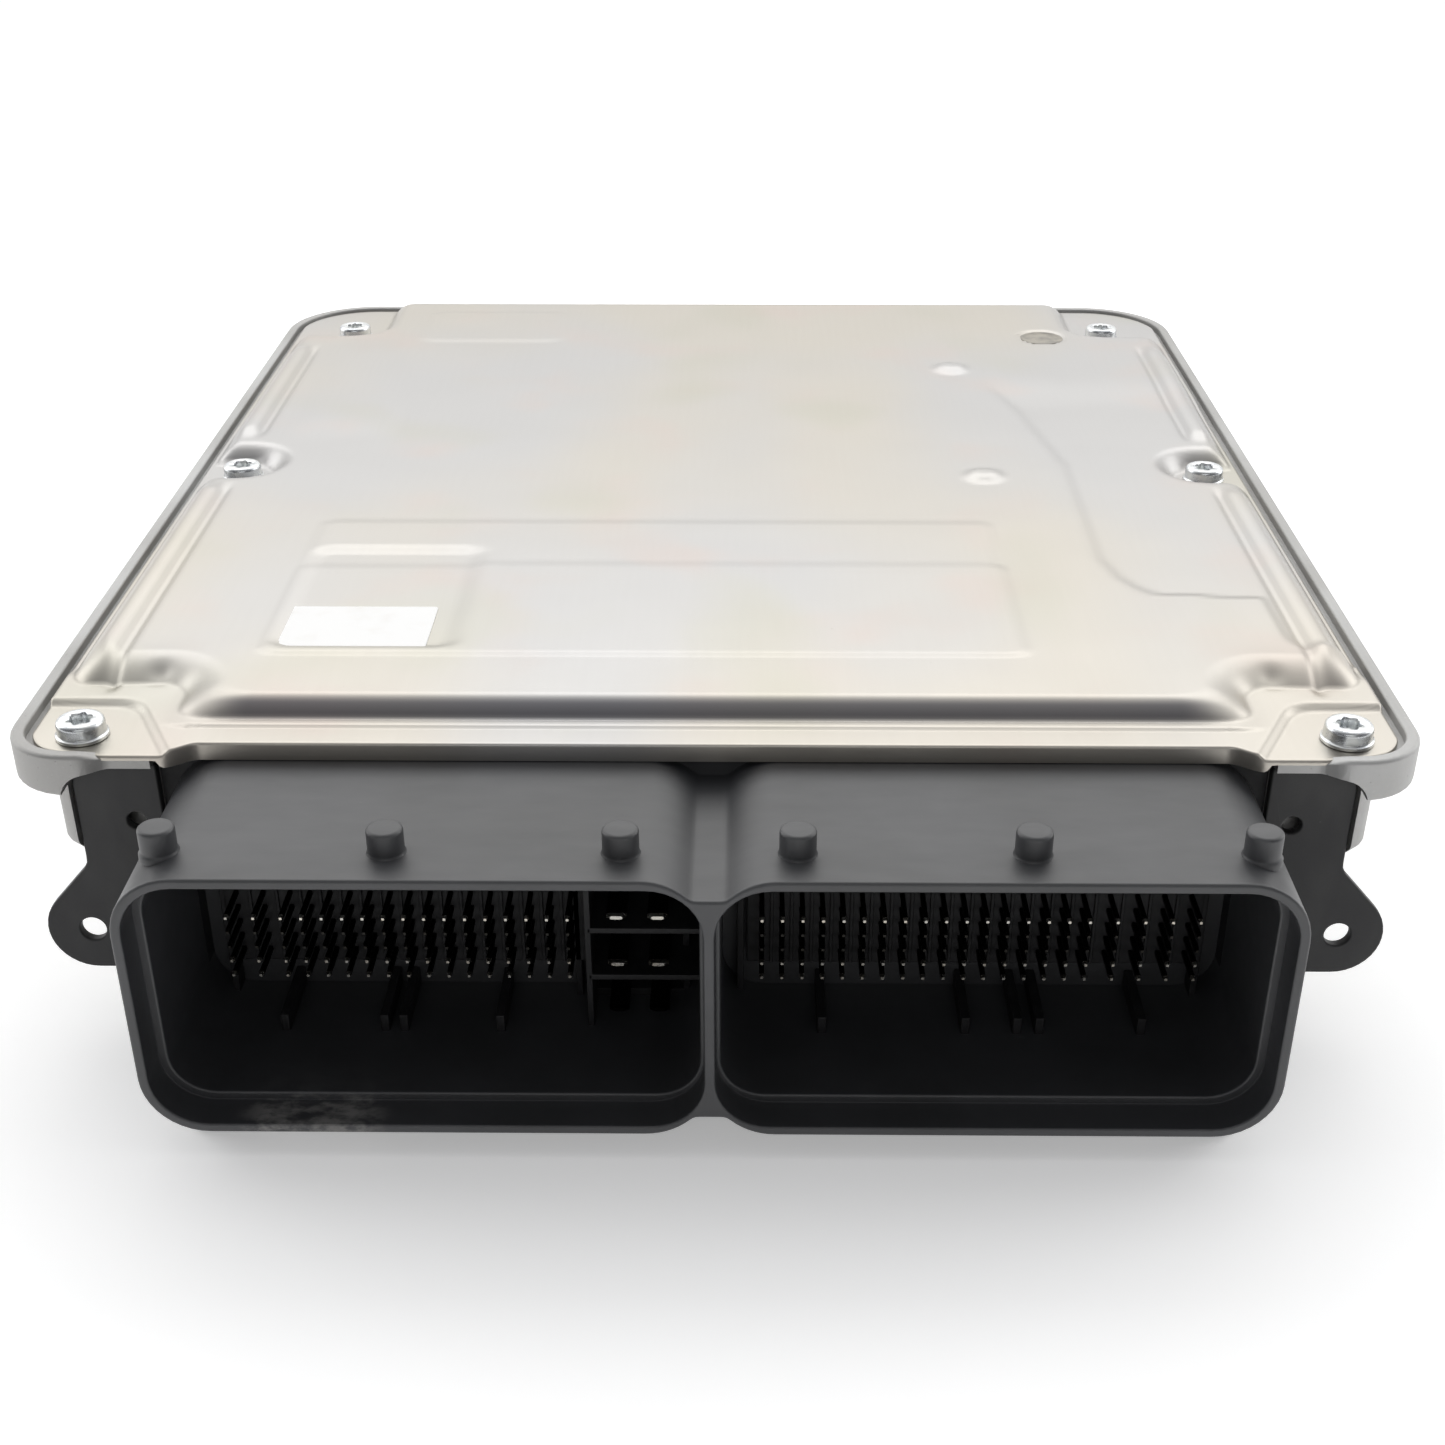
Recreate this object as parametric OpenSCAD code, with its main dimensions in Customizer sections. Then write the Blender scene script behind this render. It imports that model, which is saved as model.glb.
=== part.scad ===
// Engine control unit: cast tray, pressed cover, two-chamber connector header and circuit board.
// Millimetres. +Z up, the connector faces -Y, origin under the middle of the whole box.

/* [Housing] */
// Width across the rim of the tray
rim_w = 181; // [176:1:220]
// Length of the rim, front to back
rim_l = 202; // [165:1:245]
// Corner radius of the rim at the connector end
front_corner_r = 9; // [7:0.5:11]
// Corner radius of the rim at the far end
back_corner_r = 16.5; // [12:0.5:20]
// Depth of the flange band that the eye sees from the side
flange_h = 5.8; // [4.5:0.1:9]
// How far the flange overhangs the body at each side
flange_overhang = 10.5; // [9.5:0.1:11]
// How far the flange overhangs the body at the far end
back_overhang = 7.5; // [6:0.1:10]
// Corner radius of the body below the flange
body_corner_r = 8; // [5:0.5:12]
// Thickness of the tray walls
wall_t = 2.6; // [2.2:0.1:3.2]
// Thickness of the tray floor
floor_t = 3; // [2.5:0.1:4]
// Width of the lip that surrounds the cover
lip_w = 1.8; // [1.4:0.1:2.2]
// Height of the lip above the cover seat
lip_h = 1.4; // [1:0.1:2]
// Gap between the lip and the edge of the cover
lip_gap = 0.9; // [0.5:0.1:1.2]
// Depth of the pockets under the floor
base_pocket_h = 1; // [0.6:0.1:1.2]

/* [Cover] */
// Thickness of the cover sheet
cover_t = 1; // [0.8:0.1:1.2]
// Height of the raised platform above the cover's edge
platform_rise = 2.8; // [2:0.1:4]
// Flat margin between the rim and the foot of the platform
platform_margin = 4.2; // [3.8:0.1:5]
// Width of the stiffening ridge along each side
ridge_w = 4.6; // [3:0.1:6]
// Height of that ridge above the platform
ridge_rise = 0.5; // [0.3:0.1:1]
// Width of each front corner pocket, from the rim inwards
corner_pocket_w = 24; // [20:0.5:30]
// Length of each front corner pocket, from the rim backwards
corner_pocket_l = 18; // [16:0.5:22]
// Radius of the pockets round the other cover screws
screw_pocket_r = 6.6; // [5:0.1:8]
// Depth of the recess for the label
label_recess_h = 0.4; // [0.2:0.1:0.6]

/* [Connector header] */
// Width of the connector header
header_w = 140.2; // [115:0.2:150]
// Height of the connector header
header_h = 37; // [34:0.5:46]
// How far the mouth stands out in front of the rim
header_out = 25; // [20:0.5:32]
// Height of the header's underside above the base
header_lift = 3.5; // [3.4:0.1:6]
// Corner radius of each chamber's shell
shell_r = 8; // [6:0.5:9]
// Thickness of the shell at the mouth
mouth_wall = 1.3; // [1:0.1:1.8]
// Depth of the thin mouth before the chamber steps in
mouth_depth = 5; // [3:0.5:8]
// How far the chamber steps in behind the mouth
chamber_step = 1.2; // [0.8:0.1:1.6]
// Depth of the valley between the two shells
valley_h = 2.7; // [2:0.1:3.5]
// Diameter of the lever pegs
peg_d = 4.4; // [3.5:0.1:5]
// Height of the lever pegs
peg_h = 3.3; // [2:0.1:3.4]
// Distance from the mouth to the middle of each peg
peg_back = 6.7; // [5:0.1:10]
// Distance from the middle of the header to the inner pegs
inner_peg = 10.4; // [9:0.1:14]
// Distance from the middle of the header to the middle pegs
middle_peg = 38; // [30:0.5:44]
// Distance from the side of the header to the outer pegs
outer_peg_gap = 5.3; // [4.5:0.1:8]
// Thickness of the elastic seal round the header
seal_t = 1.1; // [0.9:0.1:1.1]

/* [Contacts] */
// Rows of signal pins
pin_rows = 5; // [3:1:6]
// Columns of signal pins in the left chamber
left_columns = 17; // [10:1:18]
// Columns of signal pins in the right chamber
right_columns = 21; // [12:1:22]
// Thickness of a square signal pin
pin_w = 0.64; // [0.5:0.02:0.8]
// Distance between rows of signal pins
row_pitch = 2.2; // [1.8:0.1:2.6]
// Height of the lowest row above the header's underside
first_row_h = 9.9; // [9:0.1:12]
// Depth of the pin tips behind the mouth
tip_depth = 20; // [16:0.5:22]
// Width of a power blade
blade_w = 2.6; // [1.5:0.1:3.2]
// Thickness of a power blade
blade_t = 0.8; // [0.6:0.1:1]
// Distance between power blades, across
blade_pitch_x = 5.3; // [4.5:0.1:5.6]
// Distance between power blades, up
blade_pitch_z = 7.2; // [6:0.1:7.4]

/* [Eared plate] */
// Thickness of the eared plate
plate_t = 1.5; // [1:0.1:2]
// How far the plate's edge stands in from the rim
plate_inset = 8.1; // [7:0.1:10]
// How far each ear's hole stands in from the rim
ear_inset = 7.2; // [6.5:0.1:9]
// Radius of each ear
ear_r = 6.1; // [5:0.1:6.3]
// Diameter of the hole in each ear
ear_hole_d = 3.5; // [3:0.1:5]
// Height of the ear holes above the base
ear_lift = 14.6; // [12:0.1:20]

/* [Screws] */
// Diameter of a cover screw's head
screw_head_d = 6.8; // [6:0.1:7.5]
// Height of a cover screw's head
screw_head_h = 2.2; // [1.5:0.1:2.6]
// Diameter of a cover screw's shank
screw_d = 3; // [2.5:0.1:3.4]
// Length of a cover screw's shank
screw_l = 9; // [7:0.5:10]

/* [Circuit board] */
// Thickness of the circuit board
board_t = 1.6; // [1.2:0.1:2]
// Height of the circuit board above the tray floor
board_lift = 6; // [5.5:0.1:8]
// Gap between the circuit board and the tray walls
board_gap = 4.4; // [3:0.1:6]
// Height of the storage capacitors
capacitor_h = 24; // [16:0.5:28]
// Diameter of the storage capacitors
capacitor_d = 16; // [12:0.5:18]

/* [Hidden] */
$fn = 48;
eps = 0.01;
fit_gap = 0.15;
seat_gap = 0.1;

// Overall length and the planes along Y
total_l = rim_l + header_out;
mouth_y = -total_l / 2;
rim_front = mouth_y + header_out;
rim_back = total_l / 2;
plate_front = rim_front + 3.9;
tray_front = plate_front + plate_t;
tray_inner_front = tray_front + wall_t;
body_back = rim_back - back_overhang;
tray_inner_back = body_back - wall_t;

// Heights
header_top = header_lift + header_h;
cover_seat = header_top + seal_t;
tray_top = cover_seat + lip_h;
flange_z = tray_top - flange_h;
cover_top = cover_seat + cover_t;
platform_z = cover_top + platform_rise;
board_z = floor_t + board_lift;
board_top = board_z + board_t;

// Widths
body_half = rim_w / 2 - flange_overhang;
cavity_half = body_half - wall_t;
plate_half = rim_w / 2 - plate_inset;
ear_x = rim_w / 2 - ear_inset;
cover_inset = lip_w + lip_gap;

// Front edge of the cover and of the flange strip beside the header
cover_mid_front = rim_front + 3.8;
cover_corner_front = rim_front + 1.6;
strip_front = rim_front + 1.9;
strip_half = rim_w / 2 - 12.5;
step_half = rim_w / 2 - 23;

// Cover screws, as distances from the rim
front_screw = [rim_w / 2 - 9.5, rim_front + 7.2];
mid_screw = [rim_w / 2 - 9.5, rim_front + rim_l / 2 - 0.5];
back_screw = [rim_w / 2 - 14.5, rim_back - 20.5];
screw_spots = [front_screw, mid_screw, back_screw];
boss_r = 4.2;
boss_h = 10.5;
boss_chamfer = 1.6;

// Platform of the cover
platform_front = rim_front + 10.6;
ridge_half = rim_w / 2 - platform_margin;
vent_spot = [62.6, rim_back - 29.9];
vent_r = 4.2;
vent_t = 0.3;
label_spot = [-50, rim_front + 34.4];
label_size = [20.8, 13.2];
label_t = 0.15;
recess_size = [25.5, 35];
recess_spot = [-48.3, rim_front + 44.6];
button_spots = [[43.3, rim_back - 108.2], [42.7, rim_back - 50.7]];
button_r = 4.2;
button_h = 0.7;

// Header
chamber_end = tray_front - 1;
root_back = tray_inner_front + 3.4;
cavity_r = body_corner_r - wall_t;
root_flange_w = 2 * (cavity_half - cavity_r - seat_gap);
inner_wall = mouth_wall + chamber_step;
peg_x = [inner_peg, middle_peg, header_w / 2 - outer_peg_gap];
pin_tip = mouth_y + tip_depth;
block_front = chamber_end - 3;
block_rise = 1.9;
divider_t = 0.8;
cell_wall_x = 16;
divider_x = [-48.3, -33, 25.7, 44];
coding_x = [-56.1, -43, -40.5, -27.8, 14.3, 33.1, 39.9, 42.8, 56.1];

// Contacts
edge_pin_gap = 6.4;
side_pin_gap = 7.6;
wide_gaps_right = 4;
wide_gaps_left = 2;
wide_ratio = 1.345;
right_field = header_w / 2 - edge_pin_gap - side_pin_gap;
right_pitch = right_field / (right_columns - 1 - wide_gaps_right + wide_gaps_right * wide_ratio);
left_edge_pin = 18.6;
left_field = header_w / 2 - left_edge_pin - side_pin_gap;
left_pitch = left_field / (left_columns - 1 - wide_gaps_left + wide_gaps_left * wide_ratio);
first_row = header_lift + first_row_h;
tail_front = root_back + 5;
tail_pitch = 2.6;
tail_below = 0.8;
blade_x = 7;
blade_first_z = header_lift + 4.7;
blade_rows = 3;
hole_gap = 0.13;
comb_t = 1.2;
comb_margin = 2;

// Circuit board
board_half = cavity_half - board_gap;
board_front = root_back + 2;
board_back = tray_inner_back - board_gap;
board_screw_x = board_half - 5;
board_screw_d = 2.5;
board_boss_r = 3.4;
board_screw_y = [tail_front + tail_pitch * pin_rows + 8, board_back - 34];
pad_t = 1;
front_rows = tail_front + tail_pitch * pin_rows;

// Place of column c, counted from the middle of the header, with the last gaps wider
function column_x(edge, pitch, columns, wide, c) =
    edge + pitch * min(c, columns - 1 - wide) + pitch * wide_ratio * max(0, c - (columns - 1 - wide));
function row_z(r) = first_row + row_pitch * r;
function tail_y(r) = tail_front + tail_pitch * r;
left_x = [for (c = [0 : left_columns - 1])
    -column_x(left_edge_pin, left_pitch, left_columns, wide_gaps_left, c)];
right_x = [for (c = [0 : right_columns - 1])
    column_x(edge_pin_gap, right_pitch, right_columns, wide_gaps_right, c)];
blade_xs = [for (c = [0 : 1]) -blade_x - blade_pitch_x * c];

// Colours
cast_grey = [0.56, 0.57, 0.58];
cover_silver = [0.82, 0.8, 0.77];
plastic_black = [0.2, 0.2, 0.21];
zinc = [0.8, 0.82, 0.84];
tin = [0.85, 0.85, 0.83];
board_green = [0.1, 0.3, 0.2];
chip_black = [0.12, 0.12, 0.13];

// Outline of the rim, moved inwards by inset
module rim_outline(inset) {
    half = rim_w / 2 - inset;
    front = rim_front + inset;
    back = rim_back - inset;
    front_r = front_corner_r - inset;
    back_r = back_corner_r - inset;
    for (side = [-1, 1]) {
        translate([side * (half - front_r), front + front_r]) circle(r = front_r);
        translate([side * (half - back_r), back - back_r]) circle(r = back_r);
    }
    translate([front_r - half, front]) square([2 * (half - front_r), back - back_r - front]);
    translate([-half, front + front_r]) square([2 * half, back - back_r - front - front_r]);
    translate([back_r - half, front + front_r]) square([2 * (half - back_r), back - front - front_r]);
}

// Rectangle with round corners, from its lowest corner
module round_rect(corner, size, r) {
    for (x = [corner[0] + r, corner[0] + size[0] - r])
        for (y = [corner[1] + r, corner[1] + size[1] - r])
            translate([x, y]) circle(r = r);
    translate([corner[0] + r, corner[1]]) square([size[0] - 2 * r, size[1]]);
    translate([corner[0], corner[1] + r]) square([size[0], size[1] - 2 * r]);
}

// Extrudes an outline drawn in X and Z from y0 to y1
module along_y(y0, y1) {
    translate([0, y1, 0]) rotate([90, 0, 0]) linear_extrude(y1 - y0) children();
}

// Box from its lowest to its highest corner
module box(low, high) {
    translate(low) cube(high - low);
}

// Puts its children at every cover screw
module at_cover_screws(z) {
    for (side = [-1, 1])
        for (spot = screw_spots)
            translate([side * spot[0], spot[1], z]) children();
}

// Puts its children at every board screw
module at_board_screws(z) {
    for (side = [-1, 1])
        for (y = board_screw_y)
            translate([side * board_screw_x, y, z]) children();
}

module plate_outline() {
    top = header_top - 0.4;
    corner_r = 3.5;
    foot = 0.4;
    ear_angle = 42;
    web_r = ear_r - 0.08;
    shoulder_z = ear_lift + web_r * sin(ear_angle)
        + (ear_x + web_r * cos(ear_angle) - plate_half) / tan(ear_angle);
    round_rect([-plate_half, ear_lift - ear_r], [2 * plate_half, top - ear_lift + ear_r], corner_r);
    translate([-header_w / 2 - 6, foot]) square([header_w + 12, ear_lift]);
    for (turned = [0, 1])
        mirror([turned, 0]) {
            translate([ear_x, ear_lift]) circle(r = ear_r);
            polygon([
                [plate_half - corner_r, ear_lift - web_r],
                [ear_x, ear_lift - web_r],
                [ear_x, ear_lift],
                [ear_x + web_r * cos(ear_angle), ear_lift + web_r * sin(ear_angle)],
                [plate_half, shoulder_z],
                [plate_half - corner_r, shoulder_z]]);
        }
}

// Outline of the header's root, grown by grow
module root_outline(grow) {
    round_rect([-header_w / 2 - grow, header_lift - grow],
        [header_w + 2 * grow, header_h + 2 * grow], shell_r + grow);
}

module tray() {
    color(cast_grey)
    difference() {
        union() {
            tray_shell();
            tray_bosses();
        }
        // Recess for the eared plate, and the room in front of the strip beside the header
        along_y(rim_front - 1, tray_front)
            round_rect([-plate_half - 0.3, -5], [2 * plate_half + 0.6, header_top + 4.8], 3.8);
        box([-strip_half, rim_front - 1, -1], [strip_half, strip_front, tray_top + 1]);
        // Opening for the header and its seal
        along_y(rim_front - 1, tray_inner_front + eps) root_outline(seal_t);
        box([-header_w / 2 - seal_t, rim_front - 1, header_top - shell_r],
            [header_w / 2 + seal_t, tray_inner_front + eps, tray_top + 1]);
        // Bores for the screws
        at_cover_screws(cover_seat - screw_l - 1)
            cylinder(d = screw_d + 2 * fit_gap, h = screw_l + 1 + lip_h);
        at_board_screws(floor_t)
            cylinder(d = board_screw_d + 2 * fit_gap, h = board_lift + 1);
        for (side = [-1, 1])
            translate([side * plate_screw_x, tray_front - 1, plate_screw_z])
                rotate([-90, 0, 0]) cylinder(d = plate_screw_d + 2 * fit_gap, h = wall_t + 2);
    }
}

// Floor, walls, flange and lip, hollowed out
module tray_shell() {
    pocket_w = 14;
    pocket_gap = 5;
    pocket_count = floor((2 * body_half - 16) / (pocket_w + pocket_gap));
    pocket_start = -(pocket_count * (pocket_w + pocket_gap) - pocket_gap) / 2;
    pocket_l = (body_back - tray_front) / 2 - 14;
    difference() {
        union() {
            linear_extrude(flange_z + eps)
                round_rect([-body_half, tray_front], [2 * body_half, body_back - tray_front],
                    body_corner_r);
            translate([0, 0, flange_z]) linear_extrude(flange_h) rim_outline(0);
        }
        // Room for the board
        translate([0, 0, floor_t]) linear_extrude(tray_top)
            round_rect([-cavity_half, tray_inner_front],
                [2 * cavity_half, tray_inner_back - tray_inner_front], cavity_r);
        // Seat of the cover inside the lip
        translate([0, 0, cover_seat]) linear_extrude(lip_h + 1) rim_outline(lip_w);
        box([-strip_half, rim_front - 1, cover_seat], [strip_half, tray_front, tray_top + 1]);
        // Groove for the cover seal
        translate([0, 0, cover_seat - seal_groove_h]) linear_extrude(seal_groove_h + eps)
            seal_outline(0);
        // Shallow pockets under the floor
        for (i = [0 : pocket_count - 1])
            for (row = [0, 1])
                translate([0, 0, -eps]) linear_extrude(base_pocket_h + eps)
                    round_rect([pocket_start + i * (pocket_w + pocket_gap),
                        tray_front + 12 + row * (pocket_l + pocket_gap)], [pocket_w, pocket_l], 3);
    }
}

// Bosses for the cover screws and the board, and the pedestals that cool it
module tray_bosses() {
    for (side = [-1, 1]) {
        for (spot = [front_screw, mid_screw])
            translate([side * spot[0], spot[1], flange_z - boss_h])
                difference() {
                    union() {
                        cylinder(r1 = boss_r - boss_chamfer, r2 = boss_r, h = boss_chamfer);
                        translate([0, 0, boss_chamfer])
                            cylinder(r = boss_r, h = boss_h - boss_chamfer + eps);
                    }
                    // Cut flush with the inside of the tray wall
                    translate([-side * (spot[0] - cavity_half) - (side > 0 ? 10 : 0), -5, -1])
                        cube([10, 10, boss_h + 2]);
                }
        translate([side * back_screw[0], back_screw[1], floor_t - eps])
            cylinder(r = min(boss_r, body_half - back_screw[0]), h = cover_seat - floor_t);
    }
    at_board_screws(floor_t - eps)
        cylinder(r = board_boss_r, h = board_lift + eps);
    for (spot = pedestal_spots)
        box([spot[0], spot[1], floor_t - eps],
            [spot[0] + spot[2], spot[1] + spot[3], board_z - pad_t]);
}

// Pedestals under the power parts: x, y, width, length
pedestal_spots = [
    [-board_half + 12, board_back - 26, 2 * board_half - 24, 16],
    [-14, board_back - 62, 28, 24],
    [-board_half + 14, front_rows + 16, 22, 20]];

// Cover seal, a bead that runs round three sides and along the sides of the header
seal_w = 1.8;
seal_groove_h = 0.8;
seal_inset = 5.2;
module seal_outline(gap) {
    difference() {
        rim_outline(seal_inset + gap);
        rim_outline(seal_inset + seal_w - gap);
        for (side = [-1, 1])
            for (spot = screw_spots)
                translate([side * spot[0], spot[1]]) circle(r = screw_d / 2 + 1.4 + gap);
        translate([-rim_w, rim_front - 1]) square([2 * rim_w, 16 + gap]);
        translate([-strip_half, rim_front]) square([2 * strip_half, 20]);
    }
}

module cover_seal() {
    color([0.1, 0.1, 0.1])
        translate([0, 0, cover_seat - seal_groove_h])
            linear_extrude(seal_groove_h) seal_outline(0.1);
}

// Raised part of the cover, moved inwards by inset
module platform_outline(inset) {
    pocket_x = rim_w / 2 - corner_pocket_w - inset;
    pocket_y = rim_front + corner_pocket_l + inset;
    difference() {
        rim_outline(platform_margin + inset);
        translate([-rim_w, rim_front - 1])
            square([2 * rim_w, platform_front - rim_front + 1 + inset]);
        for (side = [-1, 1]) {
            translate([side > 0 ? pocket_x : -pocket_x - rim_w, rim_front - 1])
                square([rim_w, pocket_y - rim_front + 1]);
            translate([side * mid_screw[0], mid_screw[1]]) circle(r = screw_pocket_r + inset);
            translate([side > 0 ? mid_screw[0] : -mid_screw[0] - rim_w,
                mid_screw[1] - screw_pocket_r - inset])
                square([rim_w, 2 * (screw_pocket_r + inset)]);
            translate([side * back_screw[0], back_screw[1]]) circle(r = screw_pocket_r + inset);
            translate([side > 0 ? back_screw[0] - screw_pocket_r - inset : -back_screw[0]
                + screw_pocket_r + inset - rim_w, back_screw[1]])
                square([rim_w, rim_l]);
            translate([side > 0 ? back_screw[0] : -back_screw[0] - rim_w,
                back_screw[1] - screw_pocket_r - inset])
                square([rim_w, rim_l]);
        }
    }
}

module cover() {
    color(cover_silver)
    difference() {
        union() {
            translate([0, 0, cover_seat]) linear_extrude(cover_t) cover_outline();
            translate([0, 0, cover_seat]) linear_extrude(cover_t + platform_rise)
                platform_outline(0);
            // Stiffening ridges along the sides
            for (side = [-1, 1])
                for (run = ridge_runs)
                    box([side > 0 ? ridge_half - ridge_w - 1 : 1 - ridge_half, run[0], cover_top],
                        [side > 0 ? ridge_half - 1 : 1 - ridge_half + ridge_w, run[1],
                            platform_z + ridge_rise]);
            for (spot = button_spots)
                translate([spot[0], spot[1], platform_z - eps]) cylinder(r = button_r, h = button_h);
        }
        // Hollow under the platform
        translate([0, 0, cover_seat - eps]) linear_extrude(platform_rise + eps)
            platform_outline(cover_t);
        // Recesses for the label and the vent
        translate([0, 0, platform_z - label_recess_h]) linear_extrude(1)
            round_rect([recess_spot[0] - recess_size[0] / 2, recess_spot[1] - recess_size[1] / 2],
                recess_size, 3);
        translate([vent_spot[0], vent_spot[1], platform_z - vent_t])
            cylinder(r = vent_r + fit_gap, h = 1);
        translate([vent_spot[0], vent_spot[1], cover_seat])
            cylinder(r = vent_r / 2, h = platform_rise + cover_t);
        // Holes for the screws
        at_cover_screws(cover_seat - 1) cylinder(d = screw_d + 0.6, h = cover_t + 2);
    }
}

// Where the side ridges start and stop
ridge_runs = [
    [rim_front + corner_pocket_l + 4, mid_screw[1] - screw_pocket_r - 4],
    [mid_screw[1] + screw_pocket_r + 4, back_screw[1] - screw_pocket_r - 4]];

module cover_outline() {
    intersection() {
        rim_outline_open(cover_inset);
        union() {
            translate([-rim_w, cover_mid_front]) square([2 * rim_w, rim_l]);
            translate([step_half - rim_w, cover_corner_front])
                square([rim_w - 2 * step_half, 10]);
            for (side = [-1, 1])
                translate([side > 0 ? step_half : -step_half - rim_w, cover_corner_front])
                    square([rim_w, 10]);
        }
    }
}

// Rim outline, moved in at the sides and the back but run out to the front
module rim_outline_open(inset) {
    rim_outline(inset);
    difference() {
        translate([-strip_half, rim_front]) square([2 * strip_half, front_corner_r]);
        translate([-step_half, rim_front - 1])
            square([2 * step_half, cover_mid_front - rim_front + 1]);
    }
}

module cover_screws() {
    color(zinc)
    at_cover_screws(cover_top)
        difference() {
            union() {
                cylinder(d = screw_head_d, h = screw_head_h);
                translate([0, 0, -screw_l]) cylinder(d = screw_d, h = screw_l + eps);
            }
            translate([0, 0, screw_head_h - 1.3]) cylinder(d = 2.6, h = 2);
        }
}

// One chamber's shell; side is -1 for the left and 1 for the right
module chamber_shape(side, inset) {
    round_rect([side > 0 ? inset : inset - header_w / 2, header_lift + inset],
        [header_w / 2 - 2 * inset, header_h - 2 * inset], shell_r - inset);
}

module header() {
    color(plastic_black)
    difference() {
        union() {
            header_shell();
            header_insides();
        }
        pin_bores();
    }
}

module header_shell() {
    web = mouth_wall / 2;
    inner_web = web + chamber_step / 2;
    difference() {
        union() {
            for (side = [-1, 1]) along_y(mouth_y, tray_front) chamber_shape(side, 0);
            // Floor of the valleys between the shells
            box([-shell_r / 2, mouth_y, header_lift + valley_h + 1.3],
                [shell_r / 2, tray_front, header_top - valley_h]);
            along_y(tray_front - eps, root_back) root_outline(0);
            // Flange inside the tray
            box([-root_flange_w / 2, tray_inner_front, header_lift - 0.2],
                [root_flange_w / 2, root_back, header_top]);
            // Lever pegs, above and below
            for (side = [-1, 1])
                for (x = peg_x)
                    translate([side * x, mouth_y + peg_back, header_lift - peg_h])
                        cylinder(d = peg_d, h = header_h + 2 * peg_h);
        }
        for (side = [-1, 1]) {
            along_y(mouth_y - 1, mouth_y + mouth_depth)
                round_rect([side > 0 ? web : mouth_wall - header_w / 2, header_lift + mouth_wall],
                    [header_w / 2 - mouth_wall - web, header_h - 2 * mouth_wall],
                    shell_r - mouth_wall);
            along_y(mouth_y, chamber_end)
                round_rect([side > 0 ? inner_web : inner_wall - header_w / 2, header_lift + inner_wall],
                    [header_w / 2 - inner_wall - inner_web, header_h - 2 * inner_wall],
                    shell_r - inner_wall);
        }
    }
}

// Contact blocks, dividers, blade cells and coding ribs at the bottom of the chambers
module header_insides() {
    top = row_z(pin_rows - 1) + block_rise;
    low = first_row - block_rise;
    ceiling = header_top - inner_wall + eps;
    ground = header_lift + inner_wall - eps;
    for (field = [[left_x[left_columns - 1], left_x[0]], [right_x[0], right_x[right_columns - 1]]])
        box([field[0] - 2, block_front, low], [field[1] + 2, chamber_end + eps, top]);
    for (x = divider_x)
        box([x - divider_t / 2, block_front, top - eps],
            [x + divider_t / 2, chamber_end + eps, ceiling]);
    // Cells round the power blades
    box([-cell_wall_x - divider_t / 2, pin_tip - 0.5, ground],
        [divider_t / 2 - cell_wall_x, chamber_end + eps, blade_first_z + 2.7 * blade_pitch_z]);
    for (r = [0, 1])
        box([-cell_wall_x, pin_tip - 0.5, blade_first_z + (r + 0.5) * blade_pitch_z + 1.5],
            [0, chamber_end + eps, blade_first_z + (r + 0.5) * blade_pitch_z + 1.5 + divider_t]);
    // Coding ribs on the floor
    for (x = coding_x)
        box([x - 0.6, pin_tip - 2, ground], [x + 0.6, chamber_end + eps, ground + 2.6]);
}

// Bores that the contacts fill
module pin_bores() {
    for (x = concat(left_x, right_x))
        for (r = [0 : pin_rows - 1])
            box([x - pin_w / 2, block_front - 1, row_z(r) - pin_w / 2],
                [x + pin_w / 2, root_back + 1, row_z(r) + pin_w / 2]);
    for (x = blade_xs)
        for (r = [0 : blade_rows - 1])
            box([x - blade_w / 2, chamber_end - 1, blade_z(r) - blade_t / 2],
                [x + blade_w / 2, root_back + 1, blade_z(r) + blade_t / 2]);
}
function blade_z(r) = blade_first_z + blade_pitch_z * r;

// Seal between the root of the header, the tray and the cover
module header_seal() {
    color([0.12, 0.12, 0.13])
    along_y(tray_front + 0.2, tray_inner_front)
        difference() {
            union() {
                root_outline(seal_t);
                translate([-header_w / 2 - seal_t, header_top - shell_r])
                    square([header_w + 2 * seal_t, shell_r + seal_t]);
            }
            root_outline(0);
        }
}

// Screws that hold the eared plate, below the pegs and beside the header
plate_screw_x = header_w / 2 + 4.2;
plate_screw_z = ear_lift - 2;
plate_screw_d = 2.5;
plate_screw_head_d = 4.2;
sight_hole_d = 2.5;
sight_hole_z = 31.5;
module eared_plate() {
    color([0.18, 0.18, 0.19])
    difference() {
        along_y(plate_front, tray_front)
            difference() {
                plate_outline();
                root_outline(seal_t);
                translate([-header_w / 2 - seal_t, header_top - shell_r])
                    square([header_w + 2 * seal_t, shell_r + 5]);
            }
        for (side = [-1, 1]) {
            translate([side * ear_x, plate_front - 1, ear_lift])
                rotate([-90, 0, 0]) cylinder(d = ear_hole_d, h = plate_t + 2);
            translate([side * plate_screw_x, plate_front - 1, plate_screw_z])
                rotate([-90, 0, 0]) cylinder(d = plate_screw_d + 2 * fit_gap, h = plate_t + 2);
            translate([side * (header_w / 2 + 4.7), plate_front - 1, sight_hole_z])
                rotate([-90, 0, 0]) cylinder(d = sight_hole_d, h = plate_t + 2);
        }
    }
}

module plate_screws() {
    color(zinc)
    for (side = [-1, 1])
        translate([side * plate_screw_x, plate_front, plate_screw_z])
            rotate([-90, 0, 0]) {
                translate([0, 0, -1.2]) cylinder(d = plate_screw_head_d, h = 1.2);
                translate([0, 0, -eps]) cylinder(d = plate_screw_d, h = plate_t + wall_t);
            }
}

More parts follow.
